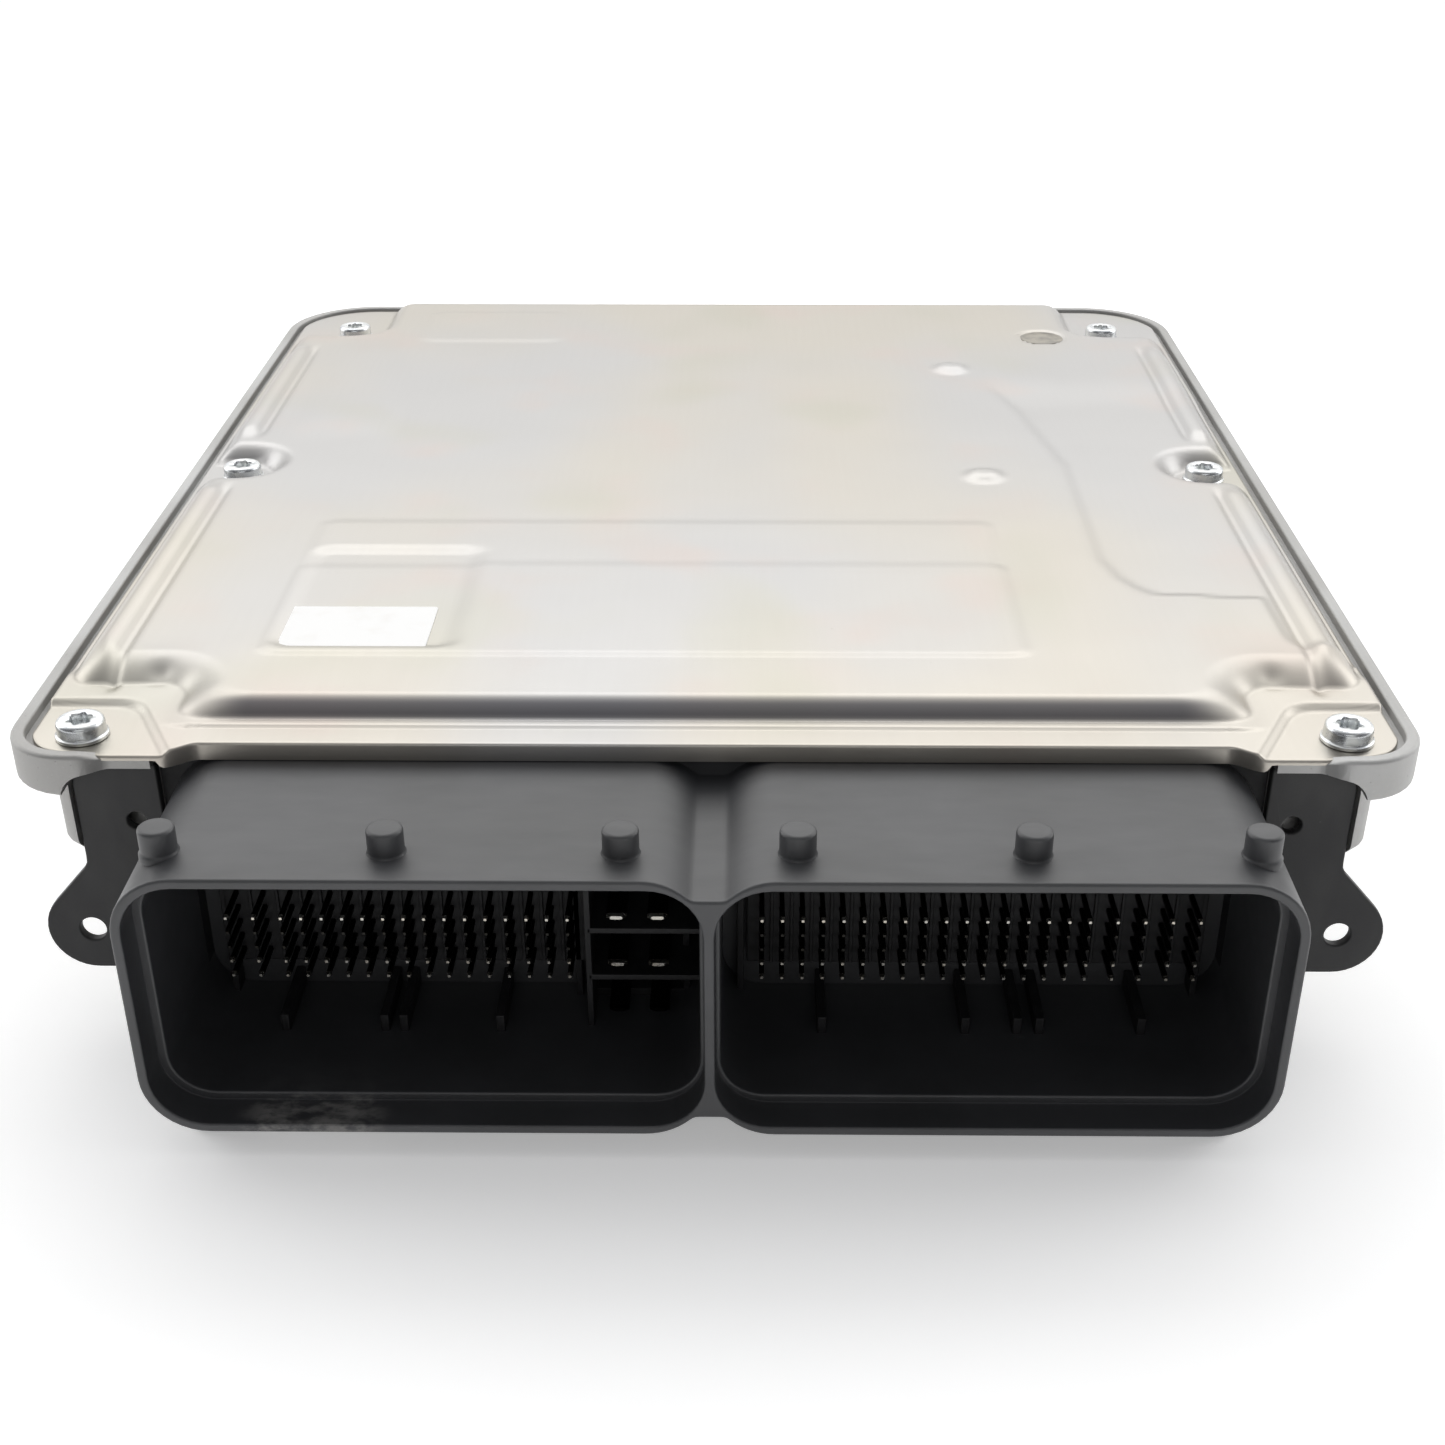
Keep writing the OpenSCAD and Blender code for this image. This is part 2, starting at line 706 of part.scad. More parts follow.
// A bent square pin from the tip, back through the header and down through the board
module signal_pin(x, r) {
    z = row_z(r);
    y = tail_y(r);
    box([x - pin_w / 2, pin_tip, z - pin_w / 2], [x + pin_w / 2, y + pin_w / 2, z + pin_w / 2]);
    box([x - pin_w / 2, y - pin_w / 2, board_z - tail_below],
        [x + pin_w / 2, y + pin_w / 2, z]);
}

module signal_pins_left() {
    color(tin)
    for (x = left_x)
        for (r = [0 : pin_rows - 1])
            signal_pin(x, r);
}

module signal_pins_right() {
    color(tin)
    for (x = right_x)
        for (r = [0 : pin_rows - 1])
            signal_pin(x, r);
}

module power_blades() {
    color(tin)
    for (x = blade_xs)
        for (r = [0 : blade_rows - 1]) {
            y = tail_y(2 * r);
            box([x - blade_w / 2, pin_tip, blade_z(r) - blade_t / 2],
                [x + blade_w / 2, y + blade_t / 2, blade_z(r) + blade_t / 2]);
            box([x - blade_w / 2, y - blade_t / 2, min(blade_z(r), board_z - tail_below)],
                [x + blade_w / 2, y + blade_t / 2, max(blade_z(r), board_top + tail_below)]);
        }
}

// Comb that lines up the pin tails over the board
module pin_comb(xs) {
    x_low = min(xs) - comb_margin;
    x_high = max(xs) + comb_margin;
    difference() {
        box([x_low, tail_y(0) - comb_margin, board_top],
            [x_high, tail_y(pin_rows - 1) + comb_margin, board_top + comb_t]);
        tail_bores(xs);
    }
}

// Square bores for the tails of the pins
module tail_bores(xs) {
    half = pin_w / 2 + hole_gap;
    for (x = xs)
        for (r = [0 : pin_rows - 1])
            box([x - half, tail_y(r) - half, board_z - 1], [x + half, tail_y(r) + half, board_top + 3]);
}

module pin_comb_left() {
    color(plastic_black) pin_comb(left_x);
}

module pin_comb_right() {
    color(plastic_black) pin_comb(right_x);
}

module circuit_board() {
    color(board_green)
    difference() {
        translate([0, 0, board_z]) linear_extrude(board_t)
            round_rect([-board_half, board_front], [2 * board_half, board_back - board_front], 3);
        tail_bores(concat(left_x, right_x));
        for (x = blade_xs)
            for (r = [0 : blade_rows - 1])
                box([x - blade_w / 2 - hole_gap, tail_y(2 * r) - blade_t / 2 - hole_gap, board_z - 1],
                    [x + blade_w / 2 + hole_gap, tail_y(2 * r) + blade_t / 2 + hole_gap,
                        board_top + 1]);
        at_board_screws(board_z - 1) cylinder(d = board_screw_d + 0.4, h = board_t + 2);
        // Room for the bosses of the far cover screws
        for (side = [-1, 1])
            translate([side * back_screw[0], back_screw[1], board_z - 1])
                cylinder(r = boss_r + 2, h = board_t + 2);
    }
}

module board_screws() {
    color(zinc)
    at_board_screws(board_top) {
        cylinder(d = 5, h = 1.8);
        translate([0, 0, -board_t - 4]) cylinder(d = board_screw_d, h = board_t + 4 + eps);
    }
}

module thermal_pads() {
    color([0.75, 0.45, 0.6])
    for (spot = pedestal_spots)
        box([spot[0] + 0.5, spot[1] + 0.5, board_z - pad_t],
            [spot[0] + spot[2] - 0.5, spot[1] + spot[3] - 0.5, board_z]);
}

// Rows of parts behind the contacts and at the far end of the board
capacitor_row = front_rows + 1.5;
near_row = front_rows + 13;
middle_row = front_rows + 34;
far_row = board_back - 18;
coil_row = board_back - 44;

// Flat chip with legs along two or four sides, standing on the board
module chip(size, legs, sides) {
    leg_w = 0.4;
    leg_l = 1.2;
    leg_t = 0.2;
    lift = 0.15;
    translate([-size[0] / 2, -size[1] / 2, lift]) cube(size);
    for (turn = [0 : 90 : 270])
        if (sides == 4 || turn % 180 == 90)
            rotate([0, 0, turn]) {
                reach = turn % 180 == 90 ? size[0] / 2 : size[1] / 2;
                span = turn % 180 == 90 ? size[1] - 2 : size[0] - 2;
                for (i = [0 : legs - 1])
                    translate([span * (i / (legs - 1) - 0.5) - leg_w / 2, reach - eps, 0]) {
                        cube([leg_w, leg_l, leg_t]);
                        cube([leg_w, leg_t, size[2] / 2]);
                    }
            }
}

module microcontroller() {
    color(chip_black)
    translate([18, middle_row + 8, board_top]) {
        translate([-13.5, -13.5, 0.5]) cube([27, 27, 1.7]);
        for (x = [-12 : 4 : 12])
            for (y = [-12 : 4 : 12])
                translate([x, y, 0]) cylinder(d = 1, h = 0.5 + eps);
    }
}

module flash_memory() {
    color(chip_black)
    translate([44, middle_row + 6, board_top]) chip([10, 13, 1.2], 12, 2);
}

module power_supply_chip() {
    color(chip_black)
    translate([-18, middle_row + 10, board_top]) chip([14, 14, 1.6], 16, 4);
}

module driver_chips() {
    color(chip_black)
    for (x = [-52, -34, 34, 54])
        translate([x, near_row, board_top]) chip([11, 9, 2.2], 10, 2);
}

// Flat power transistors with a metal tab, in a row over the far thermal pad
module power_transistors() {
    color(chip_black)
    for (i = [0 : 6])
        translate([-42 + 14 * i, far_row, board_top]) {
            translate([-5, -4.5, 0]) cube([10, 9, 4.4]);
            translate([-5, 4.4, 0]) cube([10, 2.4, 1.3]);
            for (x = [-2.5, 2.5])
                translate([x - 0.4, -7.5, 0]) cube([0.8, 3.2, 0.6]);
        }
}

module storage_capacitors() {
    color([0.25, 0.3, 0.45])
    for (x = [-52, -33])
        translate([x, coil_row, board_top]) {
            cylinder(d = capacitor_d, h = 1.2);
            translate([0, 0, 1.2 - eps]) cylinder(d = capacitor_d - 0.6, h = 1.2);
            translate([0, 0, 2.4 - 2 * eps]) cylinder(d = capacitor_d, h = capacitor_h - 2.4);
        }
}

module boost_coil() {
    color([0.35, 0.33, 0.32])
    translate([0, coil_row, board_top]) {
        translate([-9, -9, 0]) cube([18, 18, 2]);
        translate([0, 0, 2 - eps]) cylinder(d = 12, h = 7);
        translate([0, 0, 9 - 2 * eps]) cylinder(d = 17, h = 2);
    }
}

module filter_chokes() {
    color([0.3, 0.3, 0.32])
    for (x = [24, 40, 56])
        translate([x, coil_row, board_top]) {
            translate([-5.5, -5.5, 0]) cube([11, 11, 1]);
            translate([0, 0, 1 - eps]) cylinder(d = 9.5, h = 5);
        }
}

module ceramic_capacitors() {
    color([0.7, 0.6, 0.45])
    for (x = [-62 : 4 : 62])
        for (row = [0, 1])
            translate([x - 1, capacitor_row + 3.2 * row, board_top]) cube([2, 1.2, 1]);
}

module chip_resistors() {
    color([0.1, 0.1, 0.11])
    for (x = [-14 : 4 : 14])
        for (row = [0, 1])
            translate([x - 0.8, near_row - 3 + 3 * row, board_top]) cube([1.6, 0.8, 0.5]);
}

module shunt_resistors() {
    color([0.4, 0.4, 0.42])
    for (x = [-35, -7, 21])
        translate([x - 3.2, far_row - 14, board_top]) cube([6.4, 3.2, 1]);
}

module diodes() {
    color(chip_black)
    for (x = [-58, -50, -42, -34])
        translate([x, middle_row + 14, board_top]) {
            translate([-2.3, -1.8, 0]) cube([4.6, 3.6, 2.2]);
            for (side = [-1, 1])
                translate([side * 2.5 - 0.5, -1, 0]) cube([1, 2, 0.4]);
        }
}

module quartz_crystal() {
    color(zinc)
    translate([-2, middle_row - 6, board_top])
        linear_extrude(3.5) round_rect([-5.5, -2.3], [11, 4.6], 2.2);
}

module pressure_sensor() {
    color([0.85, 0.83, 0.78])
    translate([-52, middle_row + 2, board_top])
        difference() {
            union() {
                translate([-3.5, -3.5, 0]) cube([7, 7, 3]);
                translate([0, 0, 3 - eps]) cylinder(d = 3, h = 1.5);
            }
            translate([0, 0, 2]) cylinder(d = 1, h = 4);
        }
}

module vent_membrane() {
    color([0.45, 0.45, 0.38])
    translate([vent_spot[0], vent_spot[1], platform_z - vent_t]) cylinder(r = vent_r, h = vent_t);
}

module label() {
    color("white")
    translate([label_spot[0] - label_size[0] / 2, label_spot[1] - label_size[1] / 2,
        platform_z - label_recess_h])
        linear_extrude(label_t) round_rect([0, 0], label_size, 1);
}

tray();
cover();
cover_seal();
cover_screws();
header();
header_seal();
eared_plate();
plate_screws();
signal_pins_left();
signal_pins_right();
power_blades();
pin_comb_left();
pin_comb_right();
circuit_board();
board_screws();
thermal_pads();
microcontroller();
flash_memory();
power_supply_chip();
driver_chips();
power_transistors();
storage_capacitors();
boost_coil();
filter_chokes();
ceramic_capacitors();
chip_resistors();
shunt_resistors();
diodes();
quartz_crystal();
pressure_sensor();
vent_membrane();
label();
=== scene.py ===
import math

import bmesh
import bpy
import numpy as np
from mathutils import Matrix, Vector
from mathutils.geometry import delaunay_2d_cdt


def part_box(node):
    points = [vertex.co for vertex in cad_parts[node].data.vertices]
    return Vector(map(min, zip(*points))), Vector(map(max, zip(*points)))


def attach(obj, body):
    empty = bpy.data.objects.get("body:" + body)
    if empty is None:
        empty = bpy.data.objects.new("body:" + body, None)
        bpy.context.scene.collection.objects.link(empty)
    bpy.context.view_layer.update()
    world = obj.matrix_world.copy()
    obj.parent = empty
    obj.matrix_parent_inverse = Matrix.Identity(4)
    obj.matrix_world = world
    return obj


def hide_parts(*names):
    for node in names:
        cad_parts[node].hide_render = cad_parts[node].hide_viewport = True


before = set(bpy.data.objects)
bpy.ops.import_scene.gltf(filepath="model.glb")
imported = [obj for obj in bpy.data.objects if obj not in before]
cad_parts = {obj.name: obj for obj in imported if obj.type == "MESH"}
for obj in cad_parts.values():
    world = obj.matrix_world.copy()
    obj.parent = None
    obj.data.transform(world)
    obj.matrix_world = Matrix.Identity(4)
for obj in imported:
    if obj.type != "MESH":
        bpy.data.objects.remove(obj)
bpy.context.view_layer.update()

bl_info = {
    "name": "Engine control unit",
    "version": (1, 0, 0),
    "blender": (4, 5, 0),
    "location": "View3D > Sidebar > Control unit",
    "description": "Builds the detailed pieces and finishes of an engine control unit round its CAD frame",
    "category": "Object",
}

MM = 0.001


def box_mm(node):
    """Lowest and highest corner of a CAD node in millimetres."""
    low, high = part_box(node)
    return [v / MM for v in low], [v / MM for v in high]


TRAY_LOW, TRAY_HIGH = box_mm("tray")
HEADER_LOW, _ = box_mm("header")
PLATE_LOW, PLATE_HIGH = box_mm("eared_plate")
COVER_LOW, _ = box_mm("cover")

RIM_HALF = TRAY_HIGH[0]
RIM_FRONT = TRAY_LOW[1]
RIM_BACK = TRAY_HIGH[1]
RIM_TOP = TRAY_HIGH[2]
RIM_FRONT_R = 9
RIM_BACK_R = 16.5
FLANGE_Z = RIM_TOP - 5.8
SEAT_Z = COVER_LOW[2]
COVER_TOP = SEAT_Z + 1
BODY_HALF = RIM_HALF - 10.5
BODY_BACK = RIM_BACK - 7.5
PLATE_FRONT = PLATE_LOW[1]
BODY_FRONT = PLATE_HIGH[1]
WALL = 2.6
MOUTH_Y = HEADER_LOW[1]
HEADER_HALF = 70.1
HEADER_BASE = 3.5
HEADER_TOP = SEAT_Z - 1.1
EAR_X = 83.3
EAR_Z = 14.6
SCREW_SPOTS = [(81, -81.3), (81, 12), (76, 93)]
PEG_X = (10.4, 38, 64.8)


def tone(red, green, blue):
    """A colour given in display steps from 0 to 255, as the linear values a shader takes."""
    steps = [v / 255 for v in (red, green, blue)]
    return tuple(v / 12.92 if v <= 0.04045 else ((v + 0.055) / 1.055) ** 2.4 for v in steps)


# ---------------------------------------------------------------- node trees


class Wire:
    """An output socket that can stand in a sum, so that a mask is written as an expression."""

    def __init__(self, graph, socket):
        self.graph = graph
        self.socket = socket

    def joined(self, operation, first, second=None):
        values = {0: first} if second is None else {0: first, 1: second}
        return self.graph.wire("ShaderNodeMath", 0, {"operation": operation}, values)

    def __add__(self, other):
        return self.joined("ADD", self, other)

    def __radd__(self, other):
        return self.joined("ADD", other, self)

    def __sub__(self, other):
        return self.joined("SUBTRACT", self, other)

    def __rsub__(self, other):
        return self.joined("SUBTRACT", other, self)

    def __mul__(self, other):
        return self.joined("MULTIPLY", self, other)

    def __rmul__(self, other):
        return self.joined("MULTIPLY", other, self)

    def least(self, other):
        return self.joined("MINIMUM", self, other)

    def most(self, other):
        return self.joined("MAXIMUM", self, other)


class Graph:
    """A node tree and the one method that adds any node to it."""

    def __init__(self, tree):
        self.tree = tree

    def add(self, kind, settings=None, values=None):
        node = self.tree.nodes.new(kind)
        for name, setting in (settings or {}).items():
            if name == "stops":
                ramp = node.color_ramp
                while len(ramp.elements) < len(setting):
                    ramp.elements.new(0.5)
                for element, (position, colour) in zip(ramp.elements, setting):
                    element.position = position
                    element.color = (*colour, 1)
            else:
                setattr(node, name, setting)
        for name, value in (values or {}).items():
            socket = node.inputs[name]
            if isinstance(value, Wire):
                self.tree.links.new(value.socket, socket)
            elif isinstance(value, bpy.types.NodeSocket):
                self.tree.links.new(value, socket)
            elif socket.type == "RGBA" and len(value) == 3:
                socket.default_value = (*value, 1)
            else:
                socket.default_value = value
        return node

    def wire(self, kind, output=0, settings=None, values=None):
        return Wire(self, self.add(kind, settings, values).outputs[output])


class Finish(Graph):
    """A material with one principled shader. Sizes of patterns are in millimetres."""

    def __init__(self, name, **constants):
        self.material = bpy.data.materials.new(name)
        self.material.use_nodes = True
        super().__init__(self.material.node_tree)
        self.tree.nodes.clear()
        self.shader = self.add("ShaderNodeBsdfPrincipled")
        self.add("ShaderNodeOutputMaterial", None, {"Surface": self.shader.outputs[0]})
        self.place = self.wire("ShaderNodeTexCoord", "Object")
        self.bumps = None
        for name, value in constants.items():
            self.shader.inputs[name.replace("_", " ").title().replace("Ior", "IOR")].default_value = value

    def stretched(self, stretch):
        return self.wire("ShaderNodeMapping", 0, None, {"Vector": self.place, "Scale": stretch})

    def noise(self, size, detail=2.0, roughness=0.5, stretch=None, distortion=0.0):
        place = self.stretched(stretch) if stretch else self.place
        return self.wire("ShaderNodeTexNoise", "Fac", None, {
            "Vector": place, "Scale": 1 / (size * MM), "Detail": detail,
            "Roughness": roughness, "Distortion": distortion})

    def cells(self, size, feature="F1", stretch=None):
        place = self.stretched(stretch) if stretch else self.place
        return self.wire("ShaderNodeTexVoronoi", "Distance", {"feature": feature}, {
            "Vector": place, "Scale": 1 / (size * MM)})

    def soft(self, value, low, high):
        """0 below low, 1 above high and smooth between them."""
        return self.wire("ShaderNodeMapRange", 0, {"interpolation_type": "SMOOTHSTEP"}, {
            "Value": value, "From Min": low, "From Max": high, "To Min": 0.0, "To Max": 1.0})

    def mixed(self, share, first, second, blend="MIX"):
        """Two colours mixed by a share from 0 to 1."""
        return self.wire("ShaderNodeMix", 2, {"data_type": "RGBA", "blend_type": blend},
            {0: share, 6: first, 7: second})

    def axis(self, name):
        return self.wire("ShaderNodeSeparateXYZ", name, None, {0: self.place})

    def size_of(self, value):
        return self.wire("ShaderNodeMath", 0, {"operation": "ABSOLUTE"}, {0: value})

    def colour(self, value):
        self.tree.links.new(value.socket, self.shader.inputs["Base Color"])

    def rough(self, value):
        self.tree.links.new(value.socket, self.shader.inputs["Roughness"])

    def bump(self, height, depth, strength=1.0):
        """Adds relief: a height from 0 to 1 that is depth millimetres tall."""
        values = {"Height": height, "Distance": depth * MM, "Strength": strength}
        if self.bumps:
            values["Normal"] = self.bumps
        self.bumps = self.wire("ShaderNodeBump", 0, None, values)
        self.tree.links.new(self.bumps.socket, self.shader.inputs["Normal"])


# ---------------------------------------------------------------- finishes


def cover_sheet_finish(looks):
    f = Finish("cover_sheet_finish", metallic=1.0)
    broad = f.noise(55, 1.5, 0.45, (1, 0.7, 1))
    patch = f.noise(23, 2.0, 0.5)
    base = f.mixed(f.soft(broad, 0.35, 0.65), looks.sheet_colour, looks.sheet_warm_tint)
    base = f.mixed(f.soft(patch, 0.5, 0.8) * 0.55, base, tone(190, 177, 170))
    base = f.mixed(f.soft(f.noise(31, 1.0, 0.5, (1.2, 1, 1)), 0.52, 0.75) * 0.5, base, tone(179, 177, 164))
    grain = f.noise(0.9, 2.0, 0.6, (1, 0.06, 1))
    speck = f.soft(f.noise(1.3, 3.0, 0.7), 0.7, 0.82)
    base = f.mixed(speck * 0.25, base, tone(150, 142, 132))
    # Painted shade: a dark blue-grey band, tone(84, 84, 92), laid along the front riser across the middle of
    # the cover
    riser_painted_shade = f.soft(f.size_of(f.axis("Y") + 0.0772), 0.0022, 0.0005)
    riser_painted_shade = riser_painted_shade * f.soft(f.size_of(f.axis("X")), 0.068, 0.06)
    base = f.mixed(riser_painted_shade * 0.75, base, tone(84, 84, 92))
    f.colour(base)
    f.rough(0.3 + 0.1 * patch + 0.06 * grain)
    f.bump(grain, 0.0025)
    f.bump(f.noise(14, 1.0, 0.4), 0.09)
    f.bump(f.noise(0.35, 2.0, 0.6), 0.002)
    return f.material


def cast_aluminium_finish(looks):
    f = Finish("cast_aluminium_finish", metallic=0.75)
    skin = f.noise(0.6, 4.0, 0.65)
    flow = f.noise(26, 2.0, 0.5)
    pits = f.soft(f.cells(1.4), 0.12, 0.02)
    base = f.mixed(f.soft(flow, 0.3, 0.7), looks.casting_colour, tone(172, 171, 169))
    base = f.mixed(f.soft(skin, 0.55, 0.8) * 0.4, base, tone(204, 204, 202))
    base = f.mixed(pits * 0.3, base, tone(84, 83, 82))
    f.colour(base)
    f.rough(0.5 + 0.18 * skin)
    f.bump(skin, 0.03)
    f.bump(1 - pits, 0.02)
    return f.material


def header_plastic_finish(looks):
    f = Finish("header_plastic_finish", specular_ior_level=0.85)
    spark = f.noise(0.22, 2.0, 0.6)
    cloud = f.noise(18, 3.0, 0.55)
    fibre = f.noise(2.2, 3.0, 0.65, (0.3, 1, 1))
    base = f.mixed(f.soft(cloud, 0.3, 0.7), looks.plastic_colour, tone(56, 57, 60))
    low = f.soft(f.axis("Z"), 0.0065, 0.0045)
    mouth = f.soft(f.axis("Y"), -0.1, -0.112)
    spot = f.soft(f.size_of(f.axis("X") + 0.0495), 0.0105, 0.0055)
    dust = low * mouth * spot * f.soft(f.noise(2.2, 4.0, 0.7, (0.6, 1, 1)), 0.4, 0.66)
    base = f.mixed(dust * 0.6, base, tone(150, 148, 145))
    scuff = f.soft(f.noise(1.1, 4.0, 0.75, (0.25, 1, 1)), 0.66, 0.8) * f.soft(cloud, 0.45, 0.7)
    base = f.mixed(scuff * 0.3, base, tone(112, 112, 114))
    f.colour(base)
    f.rough(0.42 + 0.12 * fibre + 0.2 * dust)
    f.bump(spark, 0.006)
    f.bump(fibre, 0.006)
    return f.material


def black_steel_finish(looks):
    f = Finish("black_steel_finish", metallic=0.4)
    skin = f.noise(0.35, 3.0, 0.6)
    flow = f.noise(12, 3.0, 0.6, (1, 1, 0.5))
    base = f.mixed(f.soft(flow, 0.35, 0.7), looks.plate_colour, tone(60, 60, 60))
    base = f.mixed(f.soft(f.noise(2.5, 4.0, 0.7), 0.68, 0.8) * 0.4, base, tone(128, 126, 122))
    f.colour(base)
    f.rough(0.46 + 0.16 * skin)
    f.bump(skin, 0.008)
    return f.material


def zinc_finish(looks):
    f = Finish("zinc_steel_finish", metallic=1.0)
    flow = f.noise(1.6, 3.0, 0.55)
    fine = f.noise(0.25, 2.0, 0.6)
    base = f.mixed(f.soft(flow, 0.35, 0.7), looks.zinc_colour, tone(226, 228, 226))
    base = f.mixed(f.soft(f.noise(0.8, 4.0, 0.7), 0.66, 0.8) * 0.4, base, tone(140, 138, 130))
    f.colour(base)
    f.rough(0.2 + 0.16 * flow)
    f.bump(fine, 0.003)
    return f.material


def tinned_contact_finish(looks):
    f = Finish("tinned_contact_finish", metallic=1.0)
    drawn = f.noise(0.5, 2.0, 0.6, (1, 0.05, 1))
    flow = f.noise(1.8, 2.0, 0.5)
    bright = f.mixed(f.soft(flow, 0.35, 0.7), looks.contact_colour, tone(232, 224, 208))
    # Painted shade: only the contact tips get the tin colour; the shanks, the tips of the two middle rows and
    # the lowest blades are painted near black, tone(20, 19, 18)
    tip = f.soft(f.axis("Y"), (PIN_TIP + 0.62) * MM, (PIN_TIP + 0.5) * MM)
    middle = (PIN_HALF + FIRST_ROW + ROW_PITCH * 2.5) * MM
    outside_row_shade = f.soft(f.size_of(f.axis("Z") - middle), 0.0019, 0.0021)
    high = f.soft(f.axis("Z"), 0.0105, 0.0125)
    f.colour(f.mixed(tip * high * (0.05 + 0.95 * outside_row_shade), tone(20, 19, 18), bright))
    f.rough(0.22 + 0.14 * drawn + 0.3 * (1 - tip))
    f.bump(drawn, 0.004)
    return f.material


def label_film_finish(looks):
    f = Finish("label_film_finish", coat_weight=0.15, coat_roughness=0.3)
    grain = f.noise(0.5, 3.0, 0.6)
    smudge = f.noise(7, 3.0, 0.6)
    base = f.mixed(f.soft(smudge, 0.5, 0.8) * 0.5, looks.label_colour, tone(238, 235, 230))
    f.colour(base)
    f.rough(0.42 + 0.1 * grain)
    f.bump(grain, 0.004)
    return f.material


def plain_relief_finish(name, first, second, size, depth, roughness, metallic=0.0, stretch=None):
    """A finish of two close colours with fine relief, for the parts inside."""
    f = Finish(name, metallic=metallic)
    flow = f.noise(size, 3.0, 0.55, stretch)
    fine = f.noise(size * 0.12, 3.0, 0.6, stretch)
    f.colour(f.mixed(f.soft(flow, 0.35, 0.65), first, second))
    f.rough(roughness + 0.15 * fine)
    f.bump(fine, depth)
    return f.material


def board_finish():
    """Green laminate with copper tracks under the mask."""
    f = Finish("board_laminate_finish", coat_weight=0.3, coat_roughness=0.2)
    tracks = f.soft(f.cells(3.5, "DISTANCE_TO_EDGE", (1, 1, 0)), 0.06, 0.04)
    weave = f.noise(0.5, 2.0, 0.5)
    base = f.mixed(tracks * 0.7, tone(18, 62, 42), tone(38, 98, 62))
    base = f.mixed(f.soft(weave, 0.5, 0.7) * 0.2, base, tone(30, 70, 50))
    f.colour(base)
    f.rough(0.32 + 0.1 * weave)
    f.bump(tracks, 0.03)
    return f.material


# ---------------------------------------------------------------- mesh building


def inset(outline, distance):
    """A closed outline, anticlockwise, moved inwards by distance."""
    points = np.array(outline, float)
    ahead = np.roll(points, -1, axis=0) - points
    ahead /= np.linalg.norm(ahead, axis=1)[:, None]
    behind = np.roll(ahead, 1, axis=0)
    normal_a = np.stack([-ahead[:, 1], ahead[:, 0]], 1)
    normal_b = np.stack([-behind[:, 1], behind[:, 0]], 1)
    share = 1 + (normal_a * normal_b).sum(1)
    return points + (normal_a + normal_b) / share[:, None] * distance


def arc(centre, radius, start, end, steps):
    """Points on an arc; angles in degrees."""
    return [(centre[0] + radius * math.cos(math.radians(a)), centre[1] + radius * math.sin(math.radians(a)))
            for a in np.linspace(start, end, steps + 1)]


def round_box(x0, x1, y0, y1, radius, steps=8):
    """A rectangle with round corners, anticlockwise."""
    points = []
    for cx, cy, start in ((x1 - radius, y0 + radius, -90), (x1 - radius, y1 - radius, 0),
                          (x0 + radius, y1 - radius, 90), (x0 + radius, y0 + radius, 180)):
        points += arc((cx, cy), radius, start, start + 90, steps)
    return points


def circle(cx, cy, radius, steps=32):
    return arc((cx, cy), radius, 0, 360, steps)[:-1]


def quarter(radius, steps=4):
    """Inset and depth along a rounded edge, from the face to the side."""
    return [(radius * (1 - math.sin(a)), radius * (1 - math.cos(a)))
            for a in np.linspace(0, math.pi / 2, steps + 1)]


def flat_xy(point, height):
    return (point[0], point[1], height)


def upright(point, depth):
    """Takes a point drawn in X and Z to its place depth along Y."""
    return (point[0], depth, point[1])


def within(spot, loop):
    """Whether a flat place lies inside a closed line."""
    ends = np.roll(loop, -1, 0)
    hit = (loop[:, 1] > spot[1]) != (ends[:, 1] > spot[1])
    a, b = loop[hit], ends[hit]
    crossing = a[:, 0] + (spot[1] - a[:, 1]) * (b[:, 0] - a[:, 0]) / (b[:, 1] - a[:, 1])
    return np.sum(spot[0] < crossing) % 2 == 1


